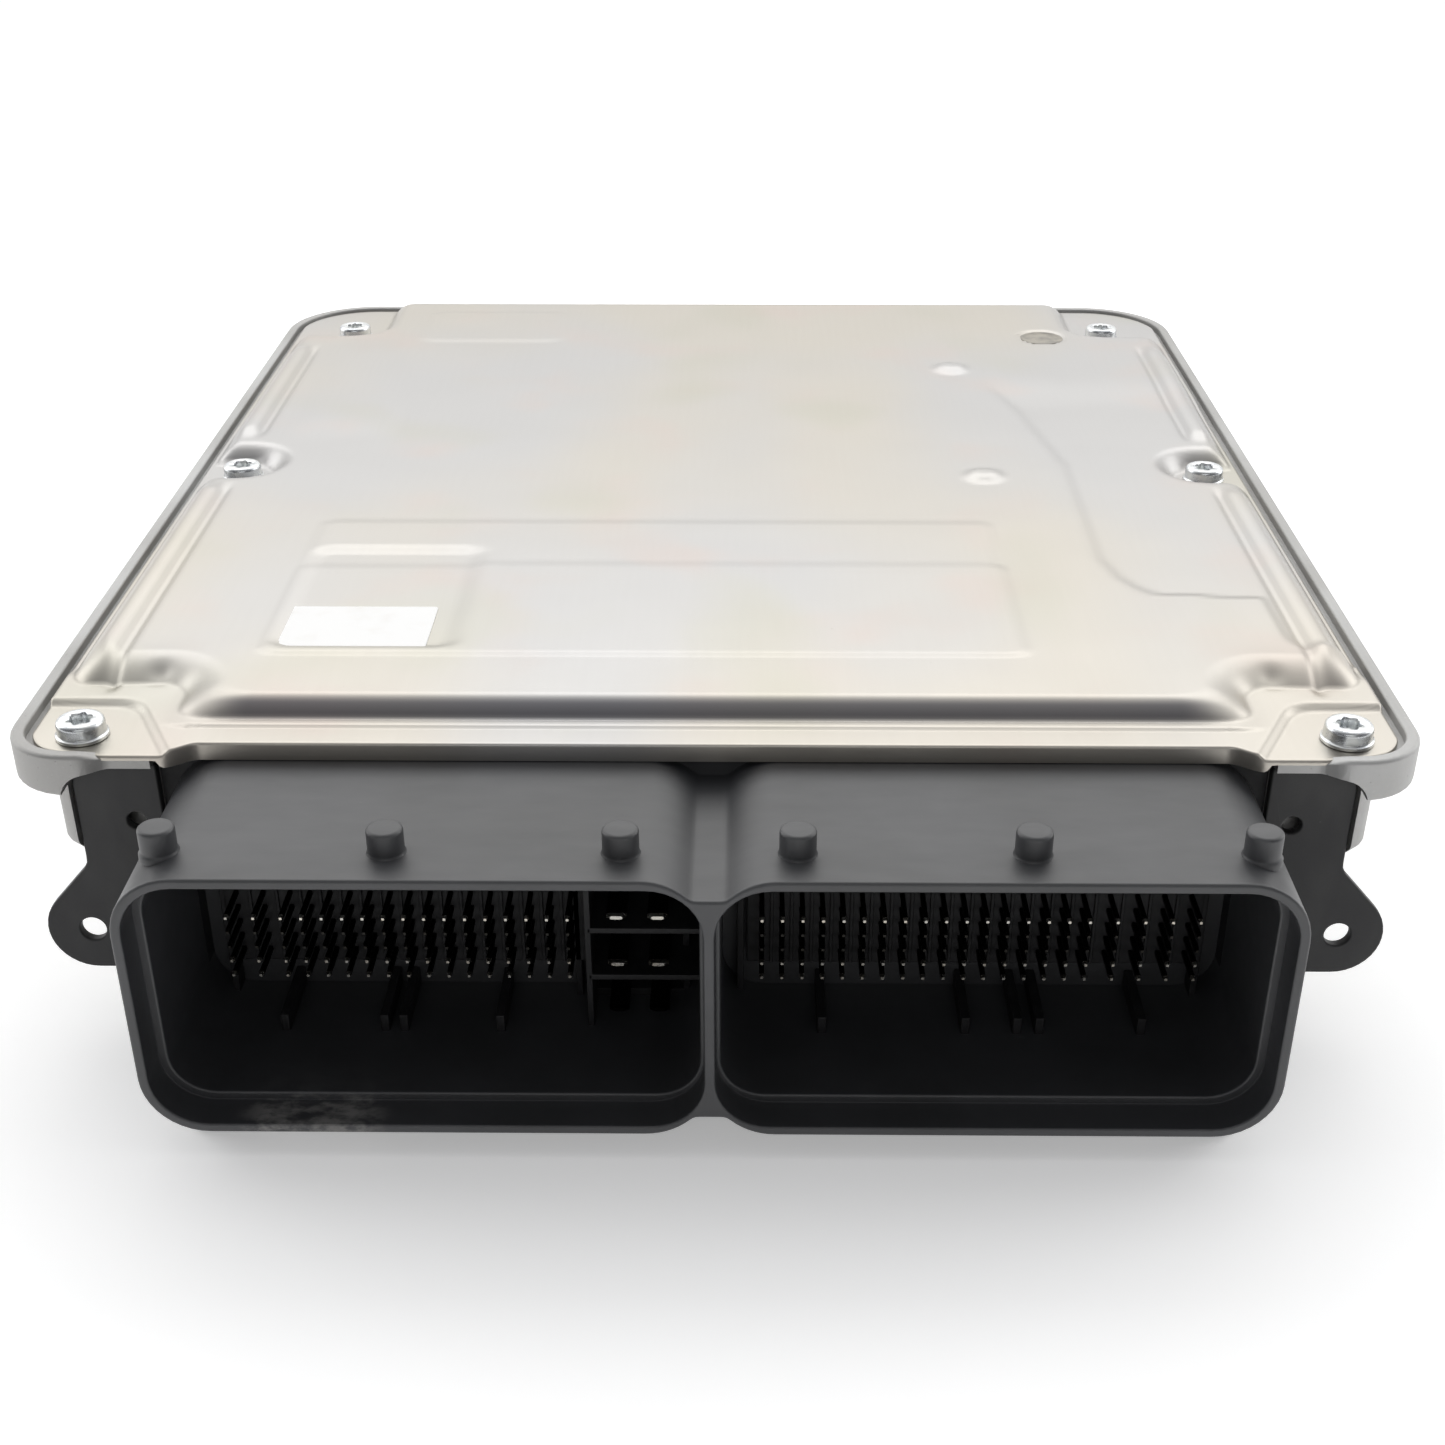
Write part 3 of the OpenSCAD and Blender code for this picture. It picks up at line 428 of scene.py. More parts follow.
class Shell:
    """Collects the points and faces of one piece, in millimetres."""

    def __init__(self):
        self.points = []
        self.faces = []

    def ring(self, points):
        start = len(self.points)
        self.points += [tuple(float(v) for v in p) for p in points]
        return list(range(start, len(self.points)))

    def band(self, first, second, closed=True):
        count = len(first)
        for i in range(count if closed else count - 1):
            j = (i + 1) % count
            self.faces.append((first[i], first[j], second[j], second[i]))

    def loft(self, rings):
        made = [self.ring(r) for r in rings]
        for first, second in zip(made, made[1:]):
            self.band(first, second)
        return made

    def fill(self, *loops):
        """Closes a flat face bounded by its first loop and pierced by the others."""
        order = [i for loop in loops for i in loop]
        spots = np.array([self.points[i] for i in order])
        flat = spots[:, np.sort(np.argsort(np.ptp(spots, axis=0))[1:])]
        lines, rims, start = [], [], 0
        for loop in loops:
            lines += [(start + k, start + (k + 1) % len(loop)) for k in range(len(loop))]
            rims.append(flat[start:start + len(loop)])
            start += len(loop)
        made = delaunay_2d_cdt([Vector(p) for p in flat], lines, [], 1, 1e-6)
        for corners in made[2]:
            middle = np.mean([flat[made[3][c][0]] for c in corners], axis=0)
            if not any(within(middle, rim) for rim in rims[1:]):
                self.faces.append(tuple(order[made[3][c][0]] for c in corners))

    def slab(self, outer, holes=(), low=0.0, high=1.0, edge=0.3, place=flat_xy, steps=3):
        """A plate with rounded edges and holes, between two heights."""
        rounds = quarter(edge, steps)
        profile = [(i, low + d) for i, d in rounds] + [(i, high - d) for i, d in reversed(rounds)]
        ends = []
        for number, loop in enumerate([outer, *holes]):
            sign = -1 if number else 1
            made = self.loft([[place(p, h) for p in inset(loop, sign * i)] for i, h in profile])
            ends.append((made[0], made[-1]))
        self.fill(*[e[0] for e in ends])
        self.fill(*[e[1] for e in ends])

    def block(self, low, high, edge=0.15):
        """A box with rounded edges, from its lowest to its highest corner."""
        outline = round_box(low[0], high[0], low[1], high[1], edge * 1.2, 2)
        self.slab(outline, (), low[2], high[2], edge, flat_xy, 2)

    def turned(self, profile, centre, steps=32, lobes=None, axis="Z"):
        """A solid turned about an axis from (radius, height) pairs that start and end on it."""
        rings = []
        for number, (radius, height) in enumerate(profile[1:-1], 1):
            ring = []
            for k in range(steps):
                a = 2 * math.pi * k / steps
                r = radius * (1 + 0.13 * math.cos(6 * a)) if lobes and number >= lobes else radius
                across, along = r * math.cos(a), r * math.sin(a)
                if axis == "Z":
                    ring.append((centre[0] + across, centre[1] + along, centre[2] + height))
                else:
                    ring.append((centre[0] + across, centre[1] - height, centre[2] + along))
            rings.append(ring)
        made = self.loft(rings)
        for ring, (radius, height) in ((made[0], profile[0]), (made[-1], profile[-1])):
            rise = (0, 0, height) if axis == "Z" else (0, -height, 0)
            tip = tuple(c + r for c, r in zip(centre, rise))
            middle = self.ring([tip])[0]
            for k in range(steps):
                self.faces.append((ring[k], ring[(k + 1) % steps], middle))

    def made(self, name, finish, sharp=40):
        """The piece as an object in metres, with its faces turned outwards."""
        mesh = bpy.data.meshes.new(name)
        mesh.from_pydata([tuple(v * MM for v in p) for p in self.points], [], self.faces)
        bm = bmesh.new()
        bm.from_mesh(mesh)
        bmesh.ops.remove_doubles(bm, verts=bm.verts, dist=0.00001 * MM)
        bmesh.ops.recalc_face_normals(bm, faces=bm.faces)
        if bm.calc_volume(signed=True) < 0:
            bmesh.ops.reverse_faces(bm, faces=bm.faces)
        bm.to_mesh(mesh)
        bm.free()
        mesh.materials.append(finish)
        for polygon in mesh.polygons:
            polygon.use_smooth = True
        mesh.set_sharp_from_angle(angle=math.radians(sharp))
        piece = bpy.data.objects.new(name, mesh)
        bpy.context.scene.collection.objects.link(piece)
        return piece


def frozen(piece):
    """Turns a piece with its modifiers into a plain mesh."""
    bpy.context.view_layer.update()
    graph = bpy.context.evaluated_depsgraph_get()
    mesh = bpy.data.meshes.new_from_object(piece.evaluated_get(graph), depsgraph=graph)
    piece.modifiers.clear()
    mesh.name = piece.name
    piece.data = mesh
    return piece


def weighted(piece):
    """Shades the large faces flat and leaves the rounded edges soft."""
    change = piece.modifiers.new("Weighted", "WEIGHTED_NORMAL")
    change.keep_sharp = True
    change.weight = 80
    return frozen(piece)


def cut(piece, tool):
    """Takes one closed piece out of another and removes the tool."""
    change = piece.modifiers.new("Cut", "BOOLEAN")
    change.operation = "DIFFERENCE"
    change.solver = "EXACT"
    change.object = tool
    change.use_self = True
    frozen(piece)
    bpy.data.objects.remove(tool)
    return piece


def joined(name, pieces):
    """One object from several, with the first one's finish."""
    bm = bmesh.new()
    for piece in pieces:
        bm.from_mesh(piece.data)
    mesh = pieces[0].data
    bm.to_mesh(mesh)
    bm.free()
    for piece in pieces[1:]:
        bpy.data.objects.remove(piece)
    pieces[0].name = name
    mesh.name = name
    return pieces[0]


def shown(piece, slot, *nodes):
    """Puts a piece on the body and hides the CAD nodes it stands for; the slot argument is not used."""
    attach(piece, "root")
    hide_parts(*nodes)


def looks():
    return bpy.context.scene.unit_looks


def sizes():
    return bpy.context.scene.unit_sizes


# ---------------------------------------------------------------- the cover's relief


def ramp(low, high, value):
    t = np.clip((value - low) / (high - low), 0, 1)
    return t * t * (3 - 2 * t)


def blend_least(first, second, width):
    """The lesser of two fields, rounded where they cross."""
    share = np.clip(0.5 + 0.5 * (second - first) / width, 0, 1)
    return second * (1 - share) + first * share - width * share * (1 - share)


def box_gap(x, y, x0, x1, y0, y1, radius):
    """Distance to a round-cornered rectangle, below 0 inside it."""
    qx = np.abs(x - (x0 + x1) / 2) - (x1 - x0) / 2 + radius
    qy = np.abs(y - (y0 + y1) / 2) - (y1 - y0) / 2 + radius
    outside = np.hypot(np.maximum(qx, 0), np.maximum(qy, 0))
    return outside + np.minimum(np.maximum(qx, qy), 0) - radius


def rim_depth(x, y):
    """Distance inwards from the rim's outline."""
    radius = np.where(y < 12, RIM_FRONT_R, RIM_BACK_R)
    return -box_gap(np.abs(x), y, -RIM_HALF, RIM_HALF, RIM_FRONT, RIM_BACK, radius)


def platform_field(x, y):
    """Distance inwards from the foot of the raised part of the cover."""
    ax = np.abs(x)
    side, front = rim_depth(x, y) - 3.6, y + 78.4
    corner = 0.62 * box_gap(ax, y, 70.0, 160, -160, -68.2, 4)
    middle = np.hypot(np.minimum(ax - 81, 0), y - 12) - 5.2
    back = box_gap(ax, y, 70.2, 160, 87, 200, 5.8)
    field = blend_least(blend_least(side, front, 1.5), corner, 3.5)
    return blend_least(blend_least(field, middle, 1.5), back, 1.5)


def cover_height(x, y):
    """Height of the cover's top at a place, in millimetres."""
    s = sizes()
    ax = np.abs(x)
    field = platform_field(x, y)
    near = (1 - np.clip(field / 3.6, 0, 1)) ** 1.65
    top = COVER_TOP + s.cover_rise / MM * (1 - near)
    # Seats round the front screws, below the front band
    slant = (72 + 0.5 * (y + 82) - ax) * 0.89
    seat = -blend_least(-(y + 73.4), -slant, 3)
    front_zone = ramp(-62, -66, y)
    top += (0.75 * ramp(0, 1.3, seat) - 0.35) * front_zone * near
    shelf = ramp(-2.0, -1.6, field) * ramp(72, 67, ax) * front_zone
    top += 0.28 * shelf * near
    # Ridges along the sides, with a crease at their inner foot
    along = np.maximum(ramp(-71, -68, y) * ramp(2, -3, y), ramp(23, 28, y) * ramp(78, 72, y))
    crest = ramp(80.7, 82.5, ax) * (1 - near)
    top += along * s.ridge_rise / MM * crest
    top -= along * 0.42 * np.exp(-((ax - 80.5) / 0.7) ** 2)
    # Wide panel, its back part and the recess for the label
    panel = box_gap(x, y, -61.7, 42.4, -63.4, -32.4, 2.2)
    top += s.panel_rise / MM * ramp(0.45, -0.45, panel)
    rear = box_gap(x, y, -61.7, 41.2 + 0.06 * (y + 32), -34, -15.4, 2.2)
    top += 0.6 * s.panel_rise / MM * ramp(0.6, -0.6, rear) * ramp(-0.3, 0.3, panel)
    recess = box_gap(x, y, -61.2, -35.5, -61.6, -26, 3)
    top -= s.label_recess / MM * ramp(0.4, -1.6, recess)
    # Lower ground on the right
    edge_x = np.interp(
        y, [-60, -43, -42.5, -36, -29, 10.6, 39.4, 52], [78.6, 78.4, 62.3, 58.9, 57.2, 57.4, 52.7, 49])
    lower = -blend_least(x - edge_x, np.where(x > 77.5, y + 60, y + 43.4), 5)
    top -= 0.42 * ramp(0.9, -0.9, lower) * ramp(58, 40, y)
    # Faint pads at the back left
    pads = box_gap(x, y, -60.9, -32.8, 80, 100, 3)
    top += 0.16 * ramp(0.8, -0.8, pads)
    wing = x - np.interp(y, [20, 41, 67, 80], [-57, -58.4, -62.3, -64])
    top += 0.14 * ramp(0.9, -0.9, wing) * ramp(22, 34, y) * ramp(82, 72, y) * ramp(-78, -72, x)
    # Raised studs, corner dents and the seat of the vent
    for cx, cy in ((43.3, 5.3), (42.7, 62.8)):
        top += s.stud_rise / MM * ramp(3.7, 1.5, np.hypot(x - cx, y - cy))
    corner_gap = np.hypot(ax - 74.6, y + 66.6)
    top += 0.22 * np.exp(-(corner_gap / 4.5) ** 2) - 0.5 * np.exp(-(corner_gap / 1.5) ** 2)
    top -= 0.3 * ramp(4.7, 4.3, np.hypot(x - 62.6, y - 83.6))
    return top


def cover_front(x):
    """Front edge of the cover at a place across it."""
    ax = np.abs(x)
    flat = -84.7 - 2.2 * ramp(65.3, 69.6, ax)
    corner_x, corner_y, radius = RIM_HALF - RIM_FRONT_R, RIM_FRONT + RIM_FRONT_R, RIM_FRONT_R - 2.7
    reach = np.clip(ax - corner_x, 0, radius)
    bend = corner_y - np.sqrt(radius ** 2 - reach ** 2)
    return np.where(ax > corner_x, bend, flat + (RIM_FRONT + 2.7 - flat) * ramp(76.5, 81.4, ax))


def cover_back(x):
    ax = np.abs(x)
    corner_x, corner_y, radius = RIM_HALF - RIM_BACK_R, RIM_BACK - RIM_BACK_R, RIM_BACK_R - 2.7
    reach = np.clip(ax - corner_x, 0, radius)
    return corner_y + np.sqrt(radius ** 2 - reach ** 2)


def cover_shell():
    """The pressed sheet: a fine grid on top and a coarse one below."""
    half = RIM_HALF - 2.7
    inner = np.concatenate([np.arange(0, 38, 1.35), np.arange(38, 64, 0.9), np.arange(64, 87, 0.45)])
    right = np.concatenate([inner, half - np.array([0.55, 0.3, 0.14, 0.04, 0])])
    columns = np.concatenate([-right[:0:-1], right])
    front, back = float(cover_front(np.array(0.0))), float(cover_back(np.array(0.0)))
    rows = np.concatenate([
        front + np.array([0, 0.05, 0.16, 0.36, 0.62]), np.arange(front + 0.95, -74.4, 0.33),
        np.arange(-74.2, -60, 0.5),
        np.arange(-59.8, 83, 0.95), np.arange(83.4, 104, 0.7), np.arange(104.3, back - 0.5, 1.1),
        back - np.array([0.36, 0.16, 0.05, 0])])
    x, y = np.meshgrid(columns, rows)
    y = y + (cover_front(x) - front) * ramp(-68, front, y) + (cover_back(x) - back) * ramp(76, back, y)
    gap = np.minimum(np.minimum(y - cover_front(x), cover_back(x) - y), half - np.abs(x))
    lip = np.clip(0.35 - gap, 0, 0.35)
    z = cover_height(x, y) - (0.35 - np.sqrt(0.35 ** 2 - lip ** 2))
    shell = Shell()
    count_y, count_x = x.shape
    shell.ring(np.stack([x.ravel(), y.ravel(), z.ravel()], 1))
    number = np.arange(count_y * count_x).reshape(count_y, count_x)
    for j in range(count_y - 1):
        for i in range(count_x - 1):
            shell.faces.append((number[j, i], number[j, i + 1], number[j + 1, i + 1], number[j + 1, i]))
    loop = list(number[0, :]) + list(number[1:, -1]) + list(number[-1, -2::-1]) + list(number[-2:0:-1, 0])
    rim = [shell.points[i] for i in loop]
    # Over the header the front edge hangs down almost to the header's top
    hang = SEAT_Z - HEADER_TOP - 0.1
    turned_down = [hang * float(ramp(70.4, 69.6, abs(p[0]))) * (p[1] < -83) for p in rim]
    low = shell.ring([(p[0], p[1], SEAT_Z - drop) for p, drop in zip(rim, turned_down)])
    shell.band([int(i) for i in loop], low)
    # Underside: the rim joined to a coarse grid that follows the relief
    gx, gy = np.meshgrid(np.arange(-84, 84.1, 4), np.arange(-80, 107, 4))
    inside = (rim_depth(gx, gy) > 4.6) & (gy > -82)
    places = [Vector((p[0], p[1])) for p in rim] + [Vector(p) for p in zip(gx[inside], gy[inside])]
    edges = [(i, (i + 1) % len(rim)) for i in range(len(rim))]
    found, _, faces, *_ = delaunay_2d_cdt(places, edges, [], 1, 1e-6)
    under = shell.ring([(p.x, p.y, max(SEAT_Z, float(cover_height(np.array(p.x), np.array(p.y))) - 1.1))
                        for p in found[len(rim):]])
    names = low + under
    shell.faces += [tuple(names[i] for i in face) for face in faces]
    return shell


# ---------------------------------------------------------------- housing


FRONT_SHARES = [
    0, 0.3, 0.55, 0.72, 0.82, 0.88, 0.905, 0.92, 0.932, 0.941, 0.95, 0.959, 0.968, 0.978, 0.988, 1]


def tray_ring(half, front, back, front_r, back_r, distance, height, notch=0.0):
    """One closed ring round the tray, moved inwards; the notch sets the middle of the front back."""
    corner_x = half - front_r
    shares = [-v for v in FRONT_SHARES[:0:-1]] + FRONT_SHARES
    ring = []
    for share in shares:
        x = share * corner_x
        lip = float(ramp(76.4, 79.8, abs(x))) if notch else 1.0
        top = SEAT_Z + (height - SEAT_Z) * lip if height > SEAT_Z else height
        ring.append((x, front + distance + notch * (1 - lip), top))
    corners = (
        (corner_x, front + front_r, front_r, -90, 9), (half - back_r, back - back_r, back_r, 0, 14),
        (back_r - half, back - back_r, back_r, 90, 14), (-corner_x, front + front_r, front_r, 180, 9))
    for number, (cx, cy, radius, start, steps) in enumerate(corners):
        points = arc((cx, cy), radius - distance, start, start + 90, steps)
        if number == 0:
            points = points[1:]
        if number == 3:
            points = points[:-1]
        ring += [(px, py, height) for px, py in points]
    return ring


def body_ring(distance, height):
    return tray_ring(BODY_HALF, BODY_FRONT, BODY_BACK, 8, 8, distance, height)


def rim_ring(distance, height):
    return tray_ring(RIM_HALF, RIM_FRONT, RIM_BACK, RIM_FRONT_R, RIM_BACK_R, distance, height, 1.9)


def cavity_ring(distance, height):
    return tray_ring(BODY_HALF - WALL, BODY_FRONT + WALL, BODY_BACK - WALL, 5.4, 5.4, distance, height)


def tray_shell():
    """Floor, wall, flange and lip in one closed skin, with the pockets under the floor."""
    edge = sizes().casting_edge / MM
    fillet = 2.2
    rings = [body_ring(i, d) for i, d in quarter(0.9)]
    for a in np.linspace(0, math.pi / 2, 6):
        rings.append(body_ring(-fillet * (1 - math.cos(a)), FLANGE_Z - fillet * (1 - math.sin(a))))
    rings += [rim_ring(i, FLANGE_Z + d) for i, d in quarter(edge)]
    rings += [rim_ring(i, RIM_TOP - d) for i, d in reversed(quarter(edge))]
    rings += [rim_ring(1.8 - i, RIM_TOP - d) for i, d in quarter(0.35, 3)]
    rings += [rim_ring(1.8, SEAT_Z + 0.05), rim_ring(2.1, SEAT_Z)]
    rings += [cavity_ring(-0.3, SEAT_Z), cavity_ring(0, SEAT_Z - 0.3)]
    for a in np.linspace(0, math.pi / 2, 4):
        rings.append(cavity_ring(1.2 - 1.2 * math.cos(a), 3 + 1.2 - 1.2 * math.sin(a)))
    shell = Shell()
    made = shell.loft(rings)
    shell.fill(made[-1])
    pockets = []
    for row in (0, 1):
        for column in range(7):
            x0, y0 = -64 + 19 * column, BODY_FRONT + 12 + 85.55 * row
            outline = round_box(x0, x0 + 14, y0, y0 + 80.55, 3, 5)
            rounds = [(-0.4, 0), (-0.15, 0.1), (0, 0.35), (0.02, 0.7), (0.15, 0.92), (0.4, 1.0)]
            loops = shell.loft([[flat_xy(p, d) for p in inset(outline, i)] for i, d in rounds])
            pockets.append(loops[0])
            shell.fill(loops[-1])
    shell.fill(made[0], *pockets)
    return shell


class UNIT_OT_housing(bpy.types.Operator):
    """Makes the cast tray with its flange, lip, screw bosses and the pockets under its floor"""

    bl_idname = "unit.housing"
    bl_label = "Cast tray"

    def execute(self, context):
        finish = cast_aluminium_finish(looks())
        tray = tray_shell().made("tray_casting", finish)
        for x, y in SCREW_SPOTS[:2]:
            for side in (-1, 1):
                boss = Shell()
                boss.turned([(0, 26.7), (2.2, 26.7), (2.9, 26.95), (4.0, 28.2), (4.2, 28.7), (4.25, 36.9),
                             (4.6, 37.6), (4.6, 38.4), (0, 38.4)], (side * x, y, 0), 40)
                boss = boss.made("boss", finish)
                change = tray.modifiers.new("Boss", "BOOLEAN")
                change.operation = "UNION"
                change.solver = "EXACT"
                change.object = boss
                frozen(tray)
                bpy.data.objects.remove(boss)
        recess = Shell()
        recess.slab(round_box(-82.7, 82.7, -5, 40.3, 3.8), (), RIM_FRONT - 2, BODY_FRONT, 0.05, upright)
        cut(tray, recess.made("recess", finish))
        opening = Shell()
        mouth = round_box(-71.2, 71.2, 2.4, 60, 9.1)
        opening.slab(mouth, (), RIM_FRONT - 3, BODY_FRONT + WALL + 0.05, 0.05, upright)
        cut(tray, opening.made("opening", finish))
        for polygon in tray.data.polygons:
            polygon.use_smooth = True
        tray.data.set_sharp_from_angle(angle=math.radians(38))
        weighted(tray)
        tray.data.materials.clear()
        tray.data.materials.append(finish)
        shown(tray, "cast_aluminium", "tray")
        return {"FINISHED"}


class UNIT_OT_cover(bpy.types.Operator):
    """Makes the pressed cover with its raised middle, ridges, panels and screw seats"""

    bl_idname = "unit.cover"
    bl_label = "Pressed cover"

    def execute(self, context):
        cover = cover_shell().made("cover_sheet", cover_sheet_finish(looks()), 62)
        shown(cover, "cover_sheet", "cover")
        return {"FINISHED"}


# ---------------------------------------------------------------- connector header


def header_outline():
    """Both shells in one outline, anticlockwise in X and Z, with the valleys between them."""
    radius, valley = 8.0, 2.7
    drop = radius - valley
    turn = math.degrees(math.asin(drop / radius))
    foot_x = radius - math.sqrt(radius ** 2 - drop ** 2)
    right_low = arc((radius, HEADER_BASE + radius), radius, 180 + turn + 5, 270, 7)
    floor_low = HEADER_BASE + valley
    start, end = np.array((foot_x - 0.7, floor_low)), np.array(right_low[0])
    knee = np.array((foot_x, floor_low))
    soft = [tuple((1 - t) ** 2 * start + 2 * t * (1 - t) * knee + t ** 2 * end) for t in (0, 0.3, 0.6)]
    outer = HEADER_HALF
    quarter_low = soft + right_low
    side = arc((outer - radius, HEADER_BASE + radius), radius, -90, 0, 10)
    low_half = quarter_low + side
    middle = (HEADER_BASE + HEADER_TOP) / 2
    high_half = [(x, 2 * middle - z) for x, z in reversed(low_half)]
    right = low_half + high_half
    left = [(-x, z) for x, z in reversed(right)]
    return right + left


def chamber_outline(side, near, far, low, high, radius):
    outline = round_box(near, far, low, high, radius, 9)
    if side < 0:
        outline = [(-x, z) for x, z in reversed(outline)]
    return outline


def header_shell():
    edge = 0.42
    shell = Shell()
    outer = header_outline()
    rounds = quarter(edge)
    rings = [[upright(p, MOUTH_Y + d) for p in inset(outer, i)] for i, d in rounds]
    rings += [[upright(p, BODY_FRONT) for p in outer]]
    made = shell.loft(rings)
    shell.fill(made[-1])
    fronts = [made[0]]
    floor, roof = HEADER_BASE + 1.3, HEADER_TOP - 1.3
    for side in (-1, 1):
        mouth = chamber_outline(side, 0.65, HEADER_HALF - 1.3, floor, roof, 6.7)
        deep = chamber_outline(side, 1.25, HEADER_HALF - 2.5, floor + 1.2, roof - 1.2, 5.5)
        step_y = MOUTH_Y + 5
        rings = [[upright(p, MOUTH_Y + d) for p in inset(mouth, -i)] for i, d in quarter(0.3)]
        rings += [[upright(p, step_y - 0.2) for p in mouth], [upright(p, step_y) for p in inset(mouth, 0.15)]]
        rings += [[upright(p, step_y + d) for p in inset(deep, -i)] for i, d in quarter(0.3)]
        rings += [[upright(p, BODY_FRONT - 1) for p in deep]]
        loops = shell.loft(rings)
        shell.fill(loops[-1])
        fronts.append(loops[0])
    shell.fill(*fronts)
    # Lever pegs above and below
    for x in PEG_X:
        for side in (-1, 1):
            for sign, base in ((1, HEADER_TOP), (-1, HEADER_BASE)):
                profile = [(0, -1.0), (2.45, -1.0), (2.45, -0.1), (2.3, 0.12), (2.2, 0.4),
                           (2.2, 2.85), (2.13, 3.1),
                           (1.95, 3.25), (1.7, 3.3), (0, 3.3)]
                shell.turned([(r, sign * h) for r, h in profile], (side * x, MOUTH_Y + 6.7, base), 36)
    # Root behind the shells and the flange inside the tray
    root = round_box(-HEADER_HALF, HEADER_HALF, HEADER_BASE, HEADER_TOP, 8)
    shell.slab(root, (), BODY_FRONT, BODY_FRONT + 6, 0.2, upright)
    shell.block((-71.9, BODY_FRONT + WALL + 0.05, HEADER_BASE - 0.2), (71.9, BODY_FRONT + 6, HEADER_TOP), 0.3)
    return shell


def column_places(edge, pitch, columns, wide, side):
    """Places of the contact columns across the header."""
    plain = columns - 1 - wide
    return [side * (edge + pitch * min(c, plain) + pitch * 1.345 * max(0, c - plain)) for c in range(columns)]


FIELDS = {
    -1: {"edge": 18.6, "pitch": 43.9 / 16.69, "columns": 17, "wide": 2},
    1: {"edge": 6.4, "pitch": 56.1 / 21.38, "columns": 21, "wide": 4},
}
PIN_TIP = MOUTH_Y + 20
FIRST_ROW = HEADER_BASE + 9.9
ROW_PITCH = 2.2
ROWS = 5
PIN_HALF = 0.32


def header_insides():
    """Contact blocks, dividers, blade cells and coding ribs at the back of the chambers."""
    shell = Shell()
    back = BODY_FRONT - 0.9
    front = BODY_FRONT - 4
    low, high = FIRST_ROW - 1.9, FIRST_ROW + ROW_PITCH * (ROWS - 1) + 1.9
    roof, floor = HEADER_TOP - 2.4, HEADER_BASE + 2.4
    for side, field in FIELDS.items():
        xs = sorted(column_places(side=side, **field))
        shell.block((xs[0] - 2, front, low), (xs[-1] + 2, back, high), 0.25)
        for i, x in enumerate(xs[:-1]):
            middle = (x + xs[i + 1]) / 2
            shell.block(
                (middle - 0.22, front - 0.5, low + 0.3), (middle + 0.22, front + 0.3, high - 0.3), 0.1)
    for x in (-48.3, -33, 25.7, 44):
        shell.block((x - 0.4, front - 0.6, high - 0.2), (x + 0.4, back, roof), 0.12)
        shell.block((x - 1.1, front - 3, roof - 2.6), (x + 1.1, back, roof), 0.2)
    for x in (-68, -64.4, -18, -3.6, 3.6, 64.4, 68):
        shell.block((x - 0.45, front, floor), (x + 0.45, back, roof - 3), 0.12)
    shell.block((-16.4, PIN_TIP - 0.5, floor - 0.2), (-15.6, back, HEADER_BASE + 4.7 + 2.7 * 7.2), 0.12)
    for step in (0, 1):
        z = HEADER_BASE + 4.7 + (step + 0.5) * 7.2 + 1.5
        shell.block((-16.1, PIN_TIP - 0.5, z), (-0.9, back, z + 0.8), 0.12)
    shell.block((-16.1, front, floor - 0.2), (-0.9, back, floor + 1.2), 0.12)
    for x in (-56.1, -43, -40.5, -27.8, 14.3, 33.1, 39.9, 42.8, 56.1):
        rib = round_box(x - 0.6, x + 0.6, PIN_TIP - 2, back, 0.3, 2)
        shell.slab(rib, (), floor - 0.2, floor + 2.6, 0.15, flat_xy, 2)
    return shell


class UNIT_OT_header(bpy.types.Operator):
    """Makes the two-chamber connector header with its valleys, lever pegs, contact blocks and coding ribs"""

    bl_idname = "unit.header"
    bl_label = "Connector header"

    def execute(self, context):
        finish = header_plastic_finish(looks())
        shell = weighted(header_shell().made("connector_header", finish, 38))
        # The insides take the header plastic with painted shade
        insides = weighted(header_insides().made("header_insides", inner_plastic_finish(looks()), 38))
        shown(shell, "header_plastic", "header")
        shown(insides, "header_plastic", "header")
        return {"FINISHED"}


# ---------------------------------------------------------------- contacts


def swept(shell, path, half_x, half_t, taper=0.0):
    """A bar along a path drawn in Y and Z, with a taper at its ends."""
    path = np.array(path, float)
    ahead = np.gradient(path, axis=0)
    ahead /= np.linalg.norm(ahead, axis=1)[:, None]
    rings = []
    for number, (place, way) in enumerate(zip(path, ahead)):
        share = taper if number in (0, len(path) - 1) else 1.0
        across = np.array((-way[1], way[0])) * half_t * share
        sx = half_x * share
        corner = 0.7
        ring = []
        for ux, ut in ((1, -corner), (1, corner), (corner, 1), (-corner, 1), (-1, corner), (-1, -corner),
                       (-corner, -1), (corner, -1)):
            ring.append((sx * ux, place[0] + across[0] * ut, place[1] + across[1] * ut))
        rings.append(ring)
    made = shell.loft(rings)
    for loop in (made[0], made[-1]):
        shell.faces.append(tuple(loop))


def bent_path(tip, bend, height, low):
    """From the tip back to a bend and down to low."""
    radius = 0.7
    corner = [(bend - radius + radius * math.sin(a), height - radius + radius * math.cos(a))
              for a in np.linspace(0, math.pi / 2, 5)]
    return [(tip, height), (tip + 0.55, height), *corner, (bend, low + 0.4), (bend, low)]


